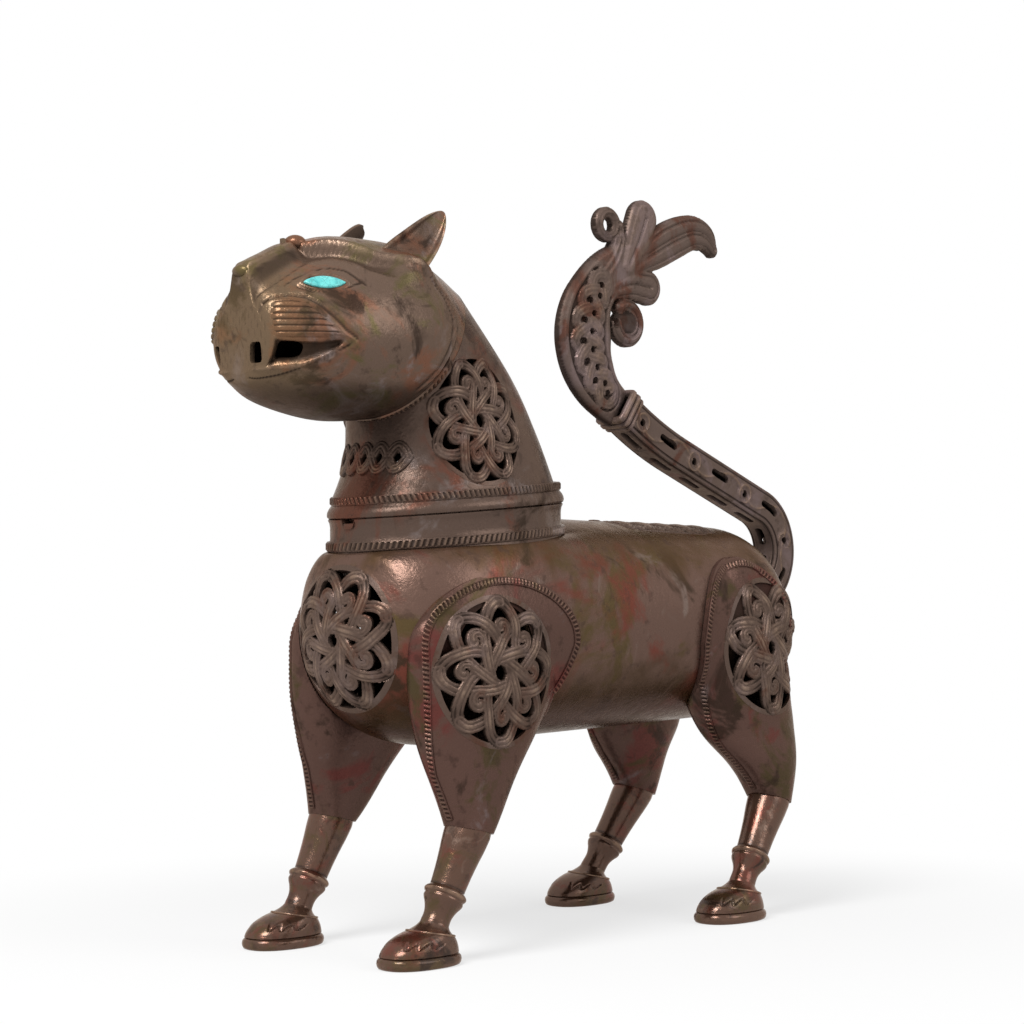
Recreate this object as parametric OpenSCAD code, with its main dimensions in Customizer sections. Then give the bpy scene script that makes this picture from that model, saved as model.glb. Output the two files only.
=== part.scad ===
// Cast bronze incense burner in the shape of a lion, with a lift-off head and neck.
// Millimetres, +Z up, paws on z = 0. The lion looks towards -Y and its left side is +X.

/* [Torso] */
// Height of the torso's long axis
axis_z = 146; // [142:0.5:152]
// Radius at the shoulders
chest_r = 54; // [50:0.5:58]
// Radius at the hips
rump_r = 49; // [46:0.5:52]
// Where the chest starts to round off
chest_y = -72; // [-80:1:-64]
// Where the rump starts to round off
rump_y = 116; // [115.5:0.5:120]
// Length of the rounded chest
chest_len = 60; // [56:1:64]
// Length of the rounded rump
rump_len = 38; // [36:0.5:42]
// Exponent of the rounded ends, 2 is a plain ellipse
fullness = 2.4; // [2:0.1:3]
// Wall of the castings
wall = 2.6; // [2:0.1:3.4]

/* [Collar] */
// Centre of the collar along the body
collar_y = -61; // [-64:1:-58]
// Half length of the collar's oval
collar_a = 61; // [57:0.5:63]
// Half width of the collar's oval
collar_b = 45; // [42:0.5:47]
// Height of the lid seam at the front
seam_front_z = 196; // [193:0.5:200]
// Height of the lid seam at the back
seam_back_z = 205.5; // [203:0.5:210]
// Wall of the collar
collar_wall = 3; // [2.4:0.1:4]
// How far the rope mouldings stand out
rope_out = 1.8; // [1:0.1:2.4]
// Distance of the collar's rope moulding under the seam
rope_drop = 11; // [9:0.5:13]
// Height of the collar's rope moulding
rope_h = 3.6; // [3:0.2:4.4]
// How far the foot of the collar spreads over the shoulders
apron_out = 3; // [2:0.5:3.5]
// Width of the lifting notch in the rim
notch_w = 7; // [4:0.5:10]
// Depth of the lifting notch
notch_h = 4; // [2:0.5:6]

/* [Lid] */
// Depth of the spigot inside the collar
spigot_h = 5; // [3:0.5:6]
// Wall of the spigot
spigot_wall = 2.2; // [1.6:0.1:3]
// Height of the flange above the seam
flange_h = 2.5; // [1.5:0.5:4]
// Height of the lid's rope moulding
lid_rope_h = 6; // [4:0.5:8]
// Play between the spigot and the collar
lid_play = 0.45; // [0.35:0.05:0.8]
// Half width of the neck where it meets the head
nape_w = 34; // [31:0.5:37]
// Front of the lion's muzzle
nose_y = -186.5; // [-190:0.5:-183]
// Half width of the head at the cheeks
cheek_w = 43; // [40:0.5:46]
// Half width of the head at the muzzle
muzzle_w = 29; // [26:0.5:32]
// Height of the crown
crown_z = 318; // [314:1:323]
// Height of the chin
chin_z = 242; // [240:0.5:245]
// Height of the brow and nose ridge
ridge_h = 5; // [3:0.5:7]
// Half width of the nose ridge
ridge_w = 7; // [5:0.5:9]
// Height of the ears above the head
ear_h = 23; // [18:1:28]
// Length of an eye inlay
eye_l = 18; // [15:0.5:22]
// Height of an eye inlay
eye_h = 6.5; // [6:0.5:9]
// Depth of an eye socket
eye_deep = 1.6; // [1.2:0.1:2]

/* [Legs] */
// Height of the top of the front leg pads
front_pad_top = 171; // [166:1:176]
// Height of the top of the rear leg pads
rear_pad_top = 179; // [174:1:183]
// Half length of the front leg pads
front_pad_half = 46; // [43:0.5:48]
// Half length of the rear leg pads
rear_pad_half = 37; // [34:0.5:40]
// How far the front leg pads stand out beyond the chest
pad_proud = 3; // [2.5:0.5:6]
// How far the rear leg pads stand out beyond the rump
rear_proud = 5.5; // [5:0.5:8]
// Thickness of the pad rims on the torso
pad_rim = 2; // [1.6:0.1:3]
// Height of the joint between casing and shank
knee_z = 57; // [53:0.5:61]
// Radius of the shank at its shoulder
knee_r = 11.5; // [10:0.5:12]
// Radius of the shank above its knop
shank_r = 7.4; // [6.5:0.1:8.5]
// Radius of the knop
knop_r = 9; // [8.5:0.1:10]
// Radius of the ankle
ankle_r = 5.8; // [5:0.1:6.5]
// Radius where the ankle meets the paw
foot_r = 9.5; // [8:0.5:10.5]
// Radius of the tenon in the casing
tenon_r = 6.5; // [5:0.5:7]
// Length of the tenon
tenon_l = 9; // [6:0.5:10]
// Height of the top of the paws
paw_z = 15; // [13:0.5:18]
// Half length of a paw
paw_half = 20.5; // [19:0.5:22]
// Half width of a paw
paw_w = 13.5; // [12:0.5:15]
// Height of the sole band
sole_h = 5; // [3:0.5:7]

/* [Openwork] */
// Radius of the leg roundels
leg_grille_r = 34.5; // [31:0.5:36]
// Radius of the chest roundel
chest_grille_r = 33; // [30:0.5:35]
// Radius of the neck roundels
neck_grille_r = 28; // [24:0.5:28.5]
// Half length of the back panel
back_half = 39; // [36:0.5:39]
// Half width of the back panel
back_w = 22; // [19:0.5:24]
// Centre of the back panel along the body
back_y = 76; // [74:0.5:76]
// Thickness of the openwork
grille_t = 1.8; // [1.6:0.1:2]
// How far the leg roundels dome
pad_sag = 1.6; // [1.4:0.1:2]
// Width of the strands
strand = 2.4; // [2:0.1:2.8]
// Width of the rim of a panel
rim = 2.6; // [2:0.1:3.2]
// Number of loops round a roundel
loops = 8; // [6:1:9]

/* [Tail] */
// Width of the tail stem
stem_w = 13; // [11:0.5:15]
// Thickness of the tail stem seen from the side
stem_t = 14; // [12:0.5:16]
// Wall of the tail stem
stem_wall = 2.2; // [1.6:0.1:3]
// Rearmost point of the tail
tail_back_y = 186.5; // [183:0.5:190]
// Height of the middle of the elbow
elbow_z = 183; // [180:1:186]
// Radius of the elbow along its middle
elbow_r = 25; // [23:0.5:27]
// Slope of the stem
stem_slope = 21.5; // [20:0.5:23]
// Length of the straight stem
stem_l = 118; // [114:1:122]
// Thickness of the plume
plume_t = 10; // [8:0.5:12]

/* [Fits] */
// Clearance between pieces that are brazed together
braze = 0.12; // [0.1:0.01:0.2]
// Clearance between a panel and its window
panel_play = 0.2; // [0.15:0.01:0.3]
// Clearance between the torso and the castings that hug it
hug_play = 0.4; // [0.35:0.01:0.5]

/* [Hidden] */
$fn = 72;
eps = 0.01;
brown = [0.27, 0.19, 0.13];
dark = [0.20, 0.16, 0.13];
grey = [0.33, 0.30, 0.26];
ochre = [0.36, 0.25, 0.14];
turquoise = [0.30, 0.62, 0.66];

ring_n = 40;
leg_n = 28;
chest_front = chest_y - chest_len;
seam_rise = (seam_back_z - seam_front_z) / (2 * collar_a);
seam_mid_z = (seam_back_z + seam_front_z) / 2;

// Small helpers

function mix(a, b, f) = a + (b - a) * f;
function unit(v) = v / norm(v);
function signed_power(v, p) = sign(v) * pow(abs(v), p);
function fade(f) = let(g = min(1, max(0, f))) g * g * (3 - 2 * g);

// Smooth curve through the stations P at the running number t
function through(P, t) =
    let(n = len(P) - 1, i = min(floor(t), n - 1), f = t - i)
    let(a = P[max(i - 1, 0)], b = P[i], c = P[i + 1], d = P[min(i + 2, n)])
    b + 0.5 * f * ((c - a) + f * ((2 * a - 5 * b + 4 * c - d) + f * (3 * (b - c) + d - a)));

// Closed solid through rings of points, bottom to top and counter-clockwise from above
module skin(rings, looped = false) {
    n = len(rings[0]);
    m = len(rings);
    sides = [
        for (i = [0 : (looped ? m : m - 1) - 1], j = [0 : n - 1])
            let(a = i * n + j, b = i * n + (j + 1) % n)
            let(c = ((i + 1) % m) * n + (j + 1) % n, d = ((i + 1) % m) * n + j)
            each [[a, c, b], [a, d, c]]
    ];
    caps = looped ? [] : [[for (j = [0 : n - 1]) j], [for (j = [n - 1 : -1 : 0]) (m - 1) * n + j]];
    polyhedron([for (r = rings) each r], concat(sides, caps), convexity = 10);
}

// Moves a drawing so that its z points along v and its y stays upright
module facing(p, v) {
    translate(p) rotate([0, -asin(unit(v)[2]), atan2(v[1], v[0])]) rotate([90, 0, 90]) children();
}

// Moves a shape so that its z runs from p towards q
module towards(p, q) {
    d = unit(q - p);
    translate(p) rotate([0, acos(d[2]), atan2(d[1], d[0])]) children();
}

module other_side() {
    mirror([1, 0, 0]) children();
}

// Torso: a barrel turned about its long axis

function rounded_end(r, share) = r * pow(max(0, 1 - pow(share, fullness)), 1 / fullness);
function hug_r(y) =
    y < chest_y ? rounded_end(chest_r + hug_play, (chest_y - y) / (chest_len + hug_play))
    : y > rump_y ? rounded_end(rump_r + hug_play, (y - rump_y) / (rump_len + hug_play))
    : mix(chest_r, rump_r, (y - chest_y) / (rump_y - chest_y)) + hug_play;
function hug_x(y, z) = sqrt(max(0, pow(hug_r(y), 2) - pow(z - axis_z, 2)));
function hug_top(x, y) = axis_z + sqrt(max(0, pow(hug_r(y), 2) - x * x));

module barrel(d) {
    bands = 10;
    front = [
        for (i = [bands : -1 : 0]) let(a = 90 * i / bands, p = 2 / fullness)
        [(chest_r + d) * signed_power(cos(a), p), chest_y - (chest_len + d) * signed_power(sin(a), p)]
    ];
    back = [
        for (i = [0 : bands]) let(a = 90 * i / bands, p = 2 / fullness)
        [(rump_r + d) * signed_power(cos(a), p), rump_y + (rump_len + d) * signed_power(sin(a), p)]
    ];
    translate([0, 0, axis_z]) rotate([-90, 0, 0]) rotate_extrude() polygon(concat(front, back));
}

// Upright slot with round ends along the body
module long_slot(half, w, h) {
    linear_extrude(h) long_outline(half, w);
}

module long_outline(half, w) {
    square([2 * w, 2 * (half - w)], center = true);
    for (s = [-1, 1]) translate([0, s * (half - w)]) circle(w);
}

module torso_shell() color(brown) difference() {
    barrel(0);
    barrel(-wall);
    translate([0, collar_y, axis_z])
        long_slot(collar_a - collar_wall - ledge, collar_b - collar_wall - ledge, chest_r);
    translate([0, chest_front - wall, chest_centre_z]) rotate([-90, 0, 0])
        cylinder(r = chest_grille_r + panel_play, h = chest_len);
    translate([0, back_y, axis_z]) long_slot(back_half + panel_play, back_w + panel_play, chest_r);
    for (s = [0, 1]) mirror([s, 0, 0]) {
        translate([0, front_mid[1], smoke_z]) rotate([0, 90, 0]) cylinder(r = smoke_r, h = 2 * chest_r);
        translate([0, rear_mid[1], smoke_z]) rotate([0, 90, 0]) cylinder(r = smoke_r, h = 2 * chest_r);
    }
}

ledge = 3;
chest_centre_z = axis_z - 4;
smoke_r = 21;
smoke_z = axis_z - 12;

// Collar: an oval rim that grows out of the torso's top

function oval(st, n = ring_n) =
    let(f = [st[0], st[1]], b = [st[2], st[3]], c = (f + b) / 2, h = (b - f) / 2)
    [for (i = [0 : n - 1]) let(t = 360 * i / n) oval_point(c, h, st[4], st[5], t)];
function oval_point(c, h, w, k, t) =
    [w * cos(t) * (1 - k * sin(t)), c[0] + h[0] * sin(t), c[1] + h[1] * sin(t)];
function grown(st, d) =
    let(u = unit([st[2] - st[0], st[3] - st[1]]) * d)
    [st[0] - u[0], st[1] - u[1], st[2] + u[0], st[3] + u[1], st[4] + d, st[5]];
function raised(st, dz) = st + [0, dz, 0, dz, 0, 0];

seam = [
    collar_y - collar_a, seam_front_z, collar_y + collar_a, seam_back_z, collar_b, 0
];
function seam_z(y) = seam_mid_z + seam_rise * (y - collar_y);
// Ring of the collar, down below the seam but not below the share f of the height above the torso
function collar_ring(d, down, f) = [
    for (p = oval(grown(seam, d))) let(low = hug_top(p[0], p[1]), high = seam_z(p[1]))
    [p[0], p[1], max(mix(low, high, f), high - down)]
];

// Rows of the collar's section: out from the oval, down from the seam, share of the height
collar_profile = [
    [-collar_wall, axis_z, 0],
    [apron_out, axis_z, 0],
    [apron_out, axis_z, 0.08],
    [apron_out * 0.3, rope_drop + rope_h + 1, 0.1],
    [rope_out, rope_drop + rope_h, 0.12],
    [rope_out, rope_drop, 0.4],
    [0, rope_drop - 1, 0.5],
    [0, rope_out * 2, 0.7],
    [rope_out / 2, 0, 1],
    [-collar_wall, 0, 1]
];

module neck_collar() color(brown) difference() {
    skin([for (c = collar_profile) collar_ring(c[0], c[1], c[2])], true);
    translate([-notch_w / 2, seam[0] - collar_wall, seam_front_z - notch_h])
        cube([notch_w, 3 * collar_wall, 2 * notch_h]);
}

// Neck: rings given by a front point, a back point, a half width and a narrowing towards the nape

lid_seam = raised(seam, braze);
neck_stations = [
    [collar_y - collar_a + 1, seam_front_z + flange_h + lid_rope_h, collar_y + collar_a - 3,
        seam_back_z + flange_h + lid_rope_h, collar_b - 1.5, 0.03],
    [-114, 217, -13, 239, mix(collar_b, nape_w, 0.5), 0.1],
    [-110.5, 230, -29, 267, mix(collar_b, nape_w, 0.8), 0.16],
    [-107, chin_z, -62, 304, nape_w, 0.2]
];
neck_steps = 7;
function neck_station(f, d = 0) = grown(through(neck_stations, f * 3), d);
spigot = grown(lid_seam, -collar_wall - lid_play);

module neck_body() {
    skin(concat(
        [
            oval(raised(grown(spigot, -spigot_wall), -spigot_h)),
            oval(raised(spigot, -spigot_h)),
            oval(spigot),
            oval(grown(lid_seam, rope_out / 2)),
            oval(raised(grown(lid_seam, rope_out / 2), flange_h)),
            oval(raised(grown(lid_seam, rope_out), flange_h + lid_rope_h * 0.4)),
            oval(raised(grown(lid_seam, rope_out * 0.7), flange_h + lid_rope_h * 0.8))
        ],
        [for (i = [0 : neck_steps]) oval(neck_station(i / neck_steps))],
        [for (i = [neck_steps : -1 : 0]) oval(neck_station(i / neck_steps, -wall))]
    ), true);
}

module neck_shell() color(brown) difference() {
    neck_body();
    for (s = [0, 1]) mirror([s, 0, 0]) facing(neck_mid, neck_out)
        translate([0, 0, -neck_dome]) linear_extrude(2 * neck_dome) circle(neck_grille_r + panel_play);
}

function neck_point(f, t) =
    let(st = neck_station(f), a = [st[0], st[1]], b = [st[2], st[3]])
    oval_point((a + b) / 2, (b - a) / 2, st[4], st[5], t);
function normal(p, u, v) = unit(cross(u - p, v - p));

neck_f = 0.51;
neck_t = -9;
neck_mid = neck_point(neck_f, neck_t);
neck_out = normal(neck_mid, neck_point(neck_f, neck_t + 1), neck_point(neck_f + 0.02, neck_t));
neck_dome = 16;
neck_bend = 66;

// Openwork: a disc pierced by rings of loops, each outer loop with a curled leaf

leaf_r = 0.5;
leaf_at = 0.45;
curl_at = 0.31;

module openwork(r) {
    inside = r - rim;
    step = 180 / loops;
    loop_at = inside / (1 + sin(step));
    loop_r = inside - loop_at;
    small_at = (loop_at - loop_r) / (1 + sin(step));
    small_r = loop_at - loop_r - small_at;
    corner_r = (inside * inside + loop_at * loop_at - 2 * loop_at * inside * cos(step) - loop_r * loop_r)
        / (2 * (loop_r + inside - loop_at * cos(step)));
    difference() {
        circle(r);
        for (i = [0 : loops - 1]) rotate(2 * step * i) {
            translate([loop_at, 0]) difference() {
                circle(loop_r - strand / 2);
                translate([-1, 1] * loop_r * curl_at) circle(loop_r * leaf_r);
            }
            rotate(step) translate([inside - corner_r, 0]) circle(corner_r - strand / 4);
            rotate(step) translate([small_at, 0]) circle(small_r - strand / 4);
        }
        circle(max(1, small_at - small_r - strand));
    }
}

// Roundel domed to a ball of radius bend
module domed_grille(r, bend) {
    intersection() {
        translate([0, 0, -bend]) difference() {
            sphere(bend);
            sphere(bend - grille_t);
        }
        translate([0, 0, -r]) linear_extrude(r + 1) openwork(r);
    }
}

function dome(r, sag) = (r * r + sag * sag) / (2 * sag);

chest_sag = chest_len - rounded_end(chest_len, chest_grille_r / chest_r);

module chest_grille() color(grey) translate([0, chest_front, chest_centre_z]) rotate([90, 0, 0])
    domed_grille(chest_grille_r, dome(chest_grille_r, chest_sag));

module back_grille() color(grey) intersection() {
    difference() {
        back_wall(0);
        back_wall(-wall);
    }
    translate([0, back_y, axis_z]) linear_extrude(2 * chest_r) back_pattern();
}

// The torso's straight middle, d larger all round
module back_wall(d) {
    translate([0, 0, axis_z]) rotate([-90, 0, 0]) rotate_extrude()
        polygon([[0, chest_y], [chest_r + d, chest_y], [rump_r + d, rump_y], [0, rump_y]]);
}

module back_pattern() {
    pitch = back_w;
    rows = floor((back_half - back_w) / pitch);
    hole_r = (back_w - rim - 1.5 * strand) / 2;
    side = hole_r + strand / 2;
    difference() {
        long_outline(back_half, back_w);
        for (j = [-rows : rows], s = [-1, 1]) translate([s * side, j * pitch]) difference() {
            circle(hole_r);
            translate([s, 1] * hole_r * leaf_at) circle(hole_r * leaf_r);
        }
        for (j = [-rows : rows - 1], s = [-1, 0, 1])
            translate([s * (back_w - rim - strand), (j + 0.5) * pitch]) circle(strand);
        for (s = [-1, 1]) translate([0, s * (back_half - rim - 2 * strand)]) circle(1.5 * strand);
    }
}

module neck_grille() {
    facing(neck_mid, neck_out) intersection() {
        translate([0, 0, -neck_bend]) rotate([90, 0, 0]) difference() {
            cylinder(r = neck_bend, h = 4 * neck_grille_r, center = true);
            cylinder(r = neck_bend - grille_t, h = 5 * neck_grille_r, center = true);
        }
        translate([0, 0, -neck_dome]) linear_extrude(neck_dome + 1) openwork(neck_grille_r);
    }
}

module neck_left_grille() color(grey) neck_grille();
module neck_right_grille() color(grey) other_side() neck_grille();

// Legs: each leg is a row of oval sections [z, y, half length, x, half thickness] from its widest
// level down to the knee, closed above by a round top, and hugs the torso

front_knee = [46.5, -93.5, knee_z];
front_foot = [46.3, -115.5, paw_z];
rear_knee = [46, 117, knee_z];
rear_foot = [51, 88, paw_z];
pad_x = chest_r + pad_proud;
front_leg = [
    [138, -74.5, front_pad_half, pad_x - 17.5, 17.5],
    [117, -78, front_pad_half * 0.91, pad_x - 17, 17],
    [97, -82.5, 33.5, pad_x - 16.5, 15.5],
    [76, -88.5, 22, 43.5, 13],
    [knee_z, front_knee[1], knee_r + 1.6, front_knee[0], knee_r + 0.7]
];
rear_x = rump_r + rear_proud;
rear_leg = [
    [136, 98.5, rear_pad_half, rear_x - 19, 19],
    [114, 103, rear_pad_half * 0.95, rear_x - 18, 18],
    [94, 108.5, 31.5, rear_x - 16, 16],
    [76, 113, 24, 44, 14],
    [knee_z, rear_knee[1], knee_r + 3, rear_knee[0], knee_r + 0.7]
];
lean_top = 96;
pad_power = 2.2;
leg_low = 12;
leg_high = 5;
top_angle = 78;
hollow_levels = [3.1, 2.5, 1.9, 1.2, 0.6, 0, -0.27, -0.54, -0.8];

// Direction square to the joint between casing and shank, half way between the shank and upright
function seat_axis(knee, foot) = unit(unit(foot - knee) + [0, 0, -1]);

// Section of a leg: u from 4 at the knee to 0 at the widest level, and on to -1 at the round top
function leg_section(L, top, u) =
    u >= 0 ? through(L, u)
    : let(a = -u * top_angle, w = L[0])
    [w[0] + (top - w[0]) * sin(a), w[1], w[2] * cos(a), w[3], w[4] * mix(1, 0.45, -u)];

// Ring of a section: hug = 1 keeps it outside the torso, and the lowest rings lean square to the shank
function leg_ring(st, knee, foot, d, hug) =
    let(lean = pow(fade((lean_top - st[0]) / (lean_top - knee_z)), 2))
    let(v = seat_axis(knee, foot), p = 2 / pad_power)
    [
        for (i = [0 : leg_n - 1])
            let(t = 360 * i / leg_n, y = st[1] - (st[2] + d) * signed_power(cos(t), p))
            let(x0 = st[3] + (st[4] + d) * signed_power(sin(t), p))
            let(face = hug * hug_x(y, st[0]))
            let(x = max(x0, sin(t) > -eps ? face + hug * pad_rim : face))
            [x, y, st[0] - lean * (v[0] / v[2] * (x - knee[0]) + v[1] / v[2] * (y - knee[1]))]
    ];
function leg_rings(L, top, knee, foot) = [
    for (i = [leg_low : -1 : 1]) leg_ring(leg_section(L, top, 4 * i / leg_low), knee, foot, 0, 1),
    for (i = [0 : leg_high]) leg_ring(leg_section(L, top, -i / leg_high), knee, foot, 0, 1)
];
function hollow_rings(L, top, knee, foot) = [
    for (u = hollow_levels) leg_ring(leg_section(L, top, u), knee, foot, -wall, 0)
];
function leg_point(L, u, t) =
    let(st = through(L, u), p = 2 / pad_power)
    [st[3] + st[4] * signed_power(sin(t), p), st[1] - st[2] * signed_power(cos(t), p), st[0]];

function leg_normal(L, u, t) =
    normal(leg_point(L, u, t), leg_point(L, u, t + 1), leg_point(L, u - 0.02, t));

grille_lift = 0.6;
front_u = 0.57;
front_t = 84;
rear_u = 0.15;
rear_t = 108;
front_mid = leg_point(front_leg, front_u, front_t);
rear_mid = leg_point(rear_leg, rear_u, rear_t);
front_out = leg_normal(front_leg, front_u, front_t);
rear_out = leg_normal(rear_leg, rear_u, rear_t);

module leg_case(L, top, knee, foot, mid, out) {
    difference() {
        skin(leg_rings(L, top, knee, foot));
        skin(hollow_rings(L, top, knee, foot));
        facing(mid, out) translate([0, 0, -leg_grille_r / 2])
            cylinder(r = leg_grille_r + panel_play, h = leg_grille_r);
        towards(knee, knee + seat_axis(knee, foot)) translate([0, 0, -tenon_l - 1])
            cylinder(r = tenon_r + braze, h = tenon_l + 2);
    }
}

module front_left_leg_case() color(brown)
    leg_case(front_leg, front_pad_top, front_knee, front_foot, front_mid, front_out);
module front_right_leg_case() color(brown) other_side()
    leg_case(front_leg, front_pad_top, front_knee, front_foot, front_mid, front_out);
module rear_left_leg_case() color(brown)
    leg_case(rear_leg, rear_pad_top, rear_knee, rear_foot, rear_mid, rear_out);
module rear_right_leg_case() color(brown) other_side()
    leg_case(rear_leg, rear_pad_top, rear_knee, rear_foot, rear_mid, rear_out);

module leg_grille(mid, out) {
    facing(mid + out * grille_lift, out) domed_grille(leg_grille_r, dome(leg_grille_r, pad_sag));
}

module front_left_grille() color(grey) leg_grille(front_mid, front_out);
module front_right_grille() color(grey) other_side() leg_grille(front_mid, front_out);
module rear_left_grille() color(grey) leg_grille(rear_mid, rear_out);
module rear_right_grille() color(grey) other_side() leg_grille(rear_mid, rear_out);

// Shank: turned lower leg with a shoulder, a knop, a thin ankle and a tenon

knop_share = 0.6;
knop_h = 5;
seam_turn = 52;

module shank(knee, foot) {
    l = norm(foot - knee);
    at = l * knop_share;
    seat = knee + seat_axis(knee, foot);
    difference() {
        turned_leg(knee, foot, l, at);
        towards(knee, seat) translate([0, 0, braze - 2 * knee_r]) cylinder(r = 3 * knee_r, h = 2 * knee_r);
    }
    towards(knee, seat) translate([0, 0, -tenon_l]) cylinder(r = tenon_r, h = tenon_l + knee_r / 2);
}

module turned_leg(knee, foot, l, at) {
    ring = knop_h / 2;
    towards(knee, foot) rotate([0, 0, seam_turn]) rotate_extrude() polygon([
        [0, -knee_r], [knee_r, -knee_r], [knee_r - 0.4, l * 0.12],
        [mix(knee_r, shank_r, 0.6), l * 0.3], [shank_r, at - ring],
        for (a = [-60 : 20 : 60]) [knop_r - ring + ring * cos(a), at + ring * sin(a)],
        [ankle_r + 1, at + ring], [ankle_r, mix(at, l, 0.5)],
        [ankle_r + 1.2, mix(at, l, 0.75)], [foot_r, l - braze], [0, l - braze]
    ]);
}

module front_left_shank() color(ochre) shank(front_knee, front_foot);
module front_right_shank() color(ochre) other_side() shank(front_knee, front_foot);
module rear_left_shank() color(ochre) shank(rear_knee, rear_foot);
module rear_right_shank() color(ochre) other_side() shank(rear_knee, rear_foot);

// Paw: a flat sole band under an instep that rises to the end of the shank

paw_n = 28;
paw_ahead = 8;

sole_power = 0.85;
// Steps from the sole band to the shank: share of the way in, share of the way up
paw_rise = [[0.12, 0.35], [0.4, 0.72], [0.75, 0.93]];

function sole_ring(c, z, d) = [
    for (i = [0 : paw_n - 1]) let(t = 360 * i / paw_n)
    [
        c[0] + (paw_w + d) * signed_power(sin(t), sole_power),
        c[1] - (paw_half + d) * signed_power(cos(t), sole_power), z
    ]
];
function seat_ring(knee, foot, r) =
    let(up = unit(knee - foot), ey = unit(cross(up, [1, 0, 0])), ex = cross(ey, up))
    [for (i = [0 : paw_n - 1]) let(t = 360 * i / paw_n) foot + r * (sin(t) * ex - cos(t) * ey)];
function ring_mix(a, b, f, g) = [
    for (i = [0 : len(a) - 1])
        [mix(a[i][0], b[i][0], f), mix(a[i][1], b[i][1], f), mix(a[i][2], b[i][2], g)]
];

module paw(knee, foot) {
    c = [foot[0], foot[1] - paw_ahead];
    ledge_ring = sole_ring(c, sole_h + 0.8, -1.2);
    seat = seat_ring(knee, foot, foot_r);
    skin([
        sole_ring(c, 0, -0.8),
        sole_ring(c, 1.2, 0),
        sole_ring(c, sole_h, 0),
        ledge_ring,
        for (r = paw_rise) ring_mix(ledge_ring, seat, r[0], r[1]),
        seat
    ]);
}

module front_left_paw() color(dark) paw(front_knee, front_foot);
module front_right_paw() color(dark) other_side() paw(front_knee, front_foot);
module rear_left_paw() color(dark) paw(rear_knee, rear_foot);
module rear_right_paw() color(dark) other_side() paw(rear_knee, rear_foot);

// Tail: a square tube that rises from the rump, turns over an elbow and ends in a flat plume

elbow_y = tail_back_y - stem_t / 2 - elbow_r;
elbow_start = -118;
elbow_sweep = 90 - stem_slope - elbow_start;
stem_lap = 0.5;
stem_step = 0.05;
slot_pitch = 15;
slot_l = 8;
slot_w = 4;

// Places children at the end of the elbow, z along the stem towards the plume and y to its upper side
module at_stem() {
    translate([0, elbow_y, elbow_z]) rotate([90 - stem_slope, 0, 0]) translate([0, elbow_r, 0]) children();
}

module stem_square(d) {
    square([stem_w - 2 * d, stem_t - 2 * d], center = true);
}

module elbow(d) {
    translate([0, elbow_y, elbow_z]) rotate([0, 90, 0]) rotate([0, 0, 90 + elbow_start])
        rotate_extrude(angle = elbow_sweep) translate([elbow_r, 0]) rotate(90) stem_square(d);
}

// Straight stem of length l, d smaller all round, let a little way into the elbow
module straight_stem(d, l) {
    at_stem() translate([0, 0, -stem_lap]) linear_extrude(l + stem_lap) stem_square(d);
}

module tail_stem() color(brown) difference() {
    union() {
        elbow(0);
        straight_stem(stem_step, stem_l);
    }
    elbow(stem_wall);
    straight_stem(stem_wall + stem_step, stem_l + 1);
    for (i = [1 : floor(stem_l / slot_pitch)]) at_stem() translate([0, 0, (i - 0.5) * slot_pitch]) {
        rotate([0, 90, 0]) linear_extrude(2 * stem_w, center = true) rotate(90) slot();
        rotate([90, 0, 0]) linear_extrude(stem_t) rotate(90) slot();
    }
    barrel(braze);
}

module slot() {
    long_outline(slot_l / 2, slot_w / 2);
}

// Plume: outline and holes as [y, z, radius] from the end of the stem, the pierced blade first, then the
// scrolls, lobes and leaf
stem_turn = 90 - stem_slope;
stem_end = [
    elbow_y + elbow_r * cos(stem_turn) - stem_l * sin(stem_turn),
    elbow_z + elbow_r * sin(stem_turn) + stem_l * cos(stem_turn)
];
blade = [7.1, 39.5, 44];
blade_cut = [16.6, 37, 24.3];
cut_rise = 13.5;
blade_edge = [
    [-53.9, -13.5], [10.1, -13.5], [18.1, 4.5], [6.1, 46.5], [18.1, 66.5], [30.1, 91.5], [-53.9, 91.5]
];
lobes = [[7.1, 44.5, 12.5], [22.6, 65.5, 9.5], [12.1, 83.5, 19], [-6.4, 95.5, 8.5], [18.6, 101.5, 9.5]];
leaf = [[30.1, 86.5, 9], [52.1, 97, 9], [68.1, 94, 6.5]];
scroll_holes = [[-6.9, 95.5, 2.2], [0.1, 46.5, 2.4]];

module disc(c) {
    translate([c[0], c[1]]) circle(c[2]);
}

module plume_outline() {
    difference() {
        intersection() {
            disc(blade);
            polygon(blade_edge);
        }
        intersection() {
            disc(blade_cut);
            translate([blade_cut[0], blade_cut[1] + cut_rise - blade_cut[2]])
                square(2 * blade_cut[2], center = true);
        }
    }
    for (c = lobes) disc(c);
    for (i = [0, 1]) hull() {
        disc(leaf[i]);
        disc(leaf[i + 1]);
    }
}

// Row of round holes of radius r along an arc d inside the blade's edge
module blade_holes(d, r, first, last) {
    at = blade[2] - d;
    for (a = [first : 16 : last]) disc([blade[0] + at * cos(a), blade[1] + at * sin(a), r]);
}

module plume_holes() {
    for (c = scroll_holes) disc(c);
    blade_holes(13, 2.6, 140, 236);
    blade_holes(7, 1.6, 148, 228);
    for (a = [60 : 40 : 180]) disc([lobes[2][0] + 9 * cos(a), lobes[2][1] - 3 + 9 * sin(a), 2.2]);
}

module tail_plume() color(brown) difference() {
    translate([0, stem_end[0], stem_end[1]]) rotate([90, 0, 90])
        linear_extrude(plume_t, center = true) difference() {
            plume_outline();
            plume_holes();
        }
    at_stem() translate([0, 0, braze]) linear_extrude(stem_l) square([4 * stem_w, 4 * stem_t], center = true);
}

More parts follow.
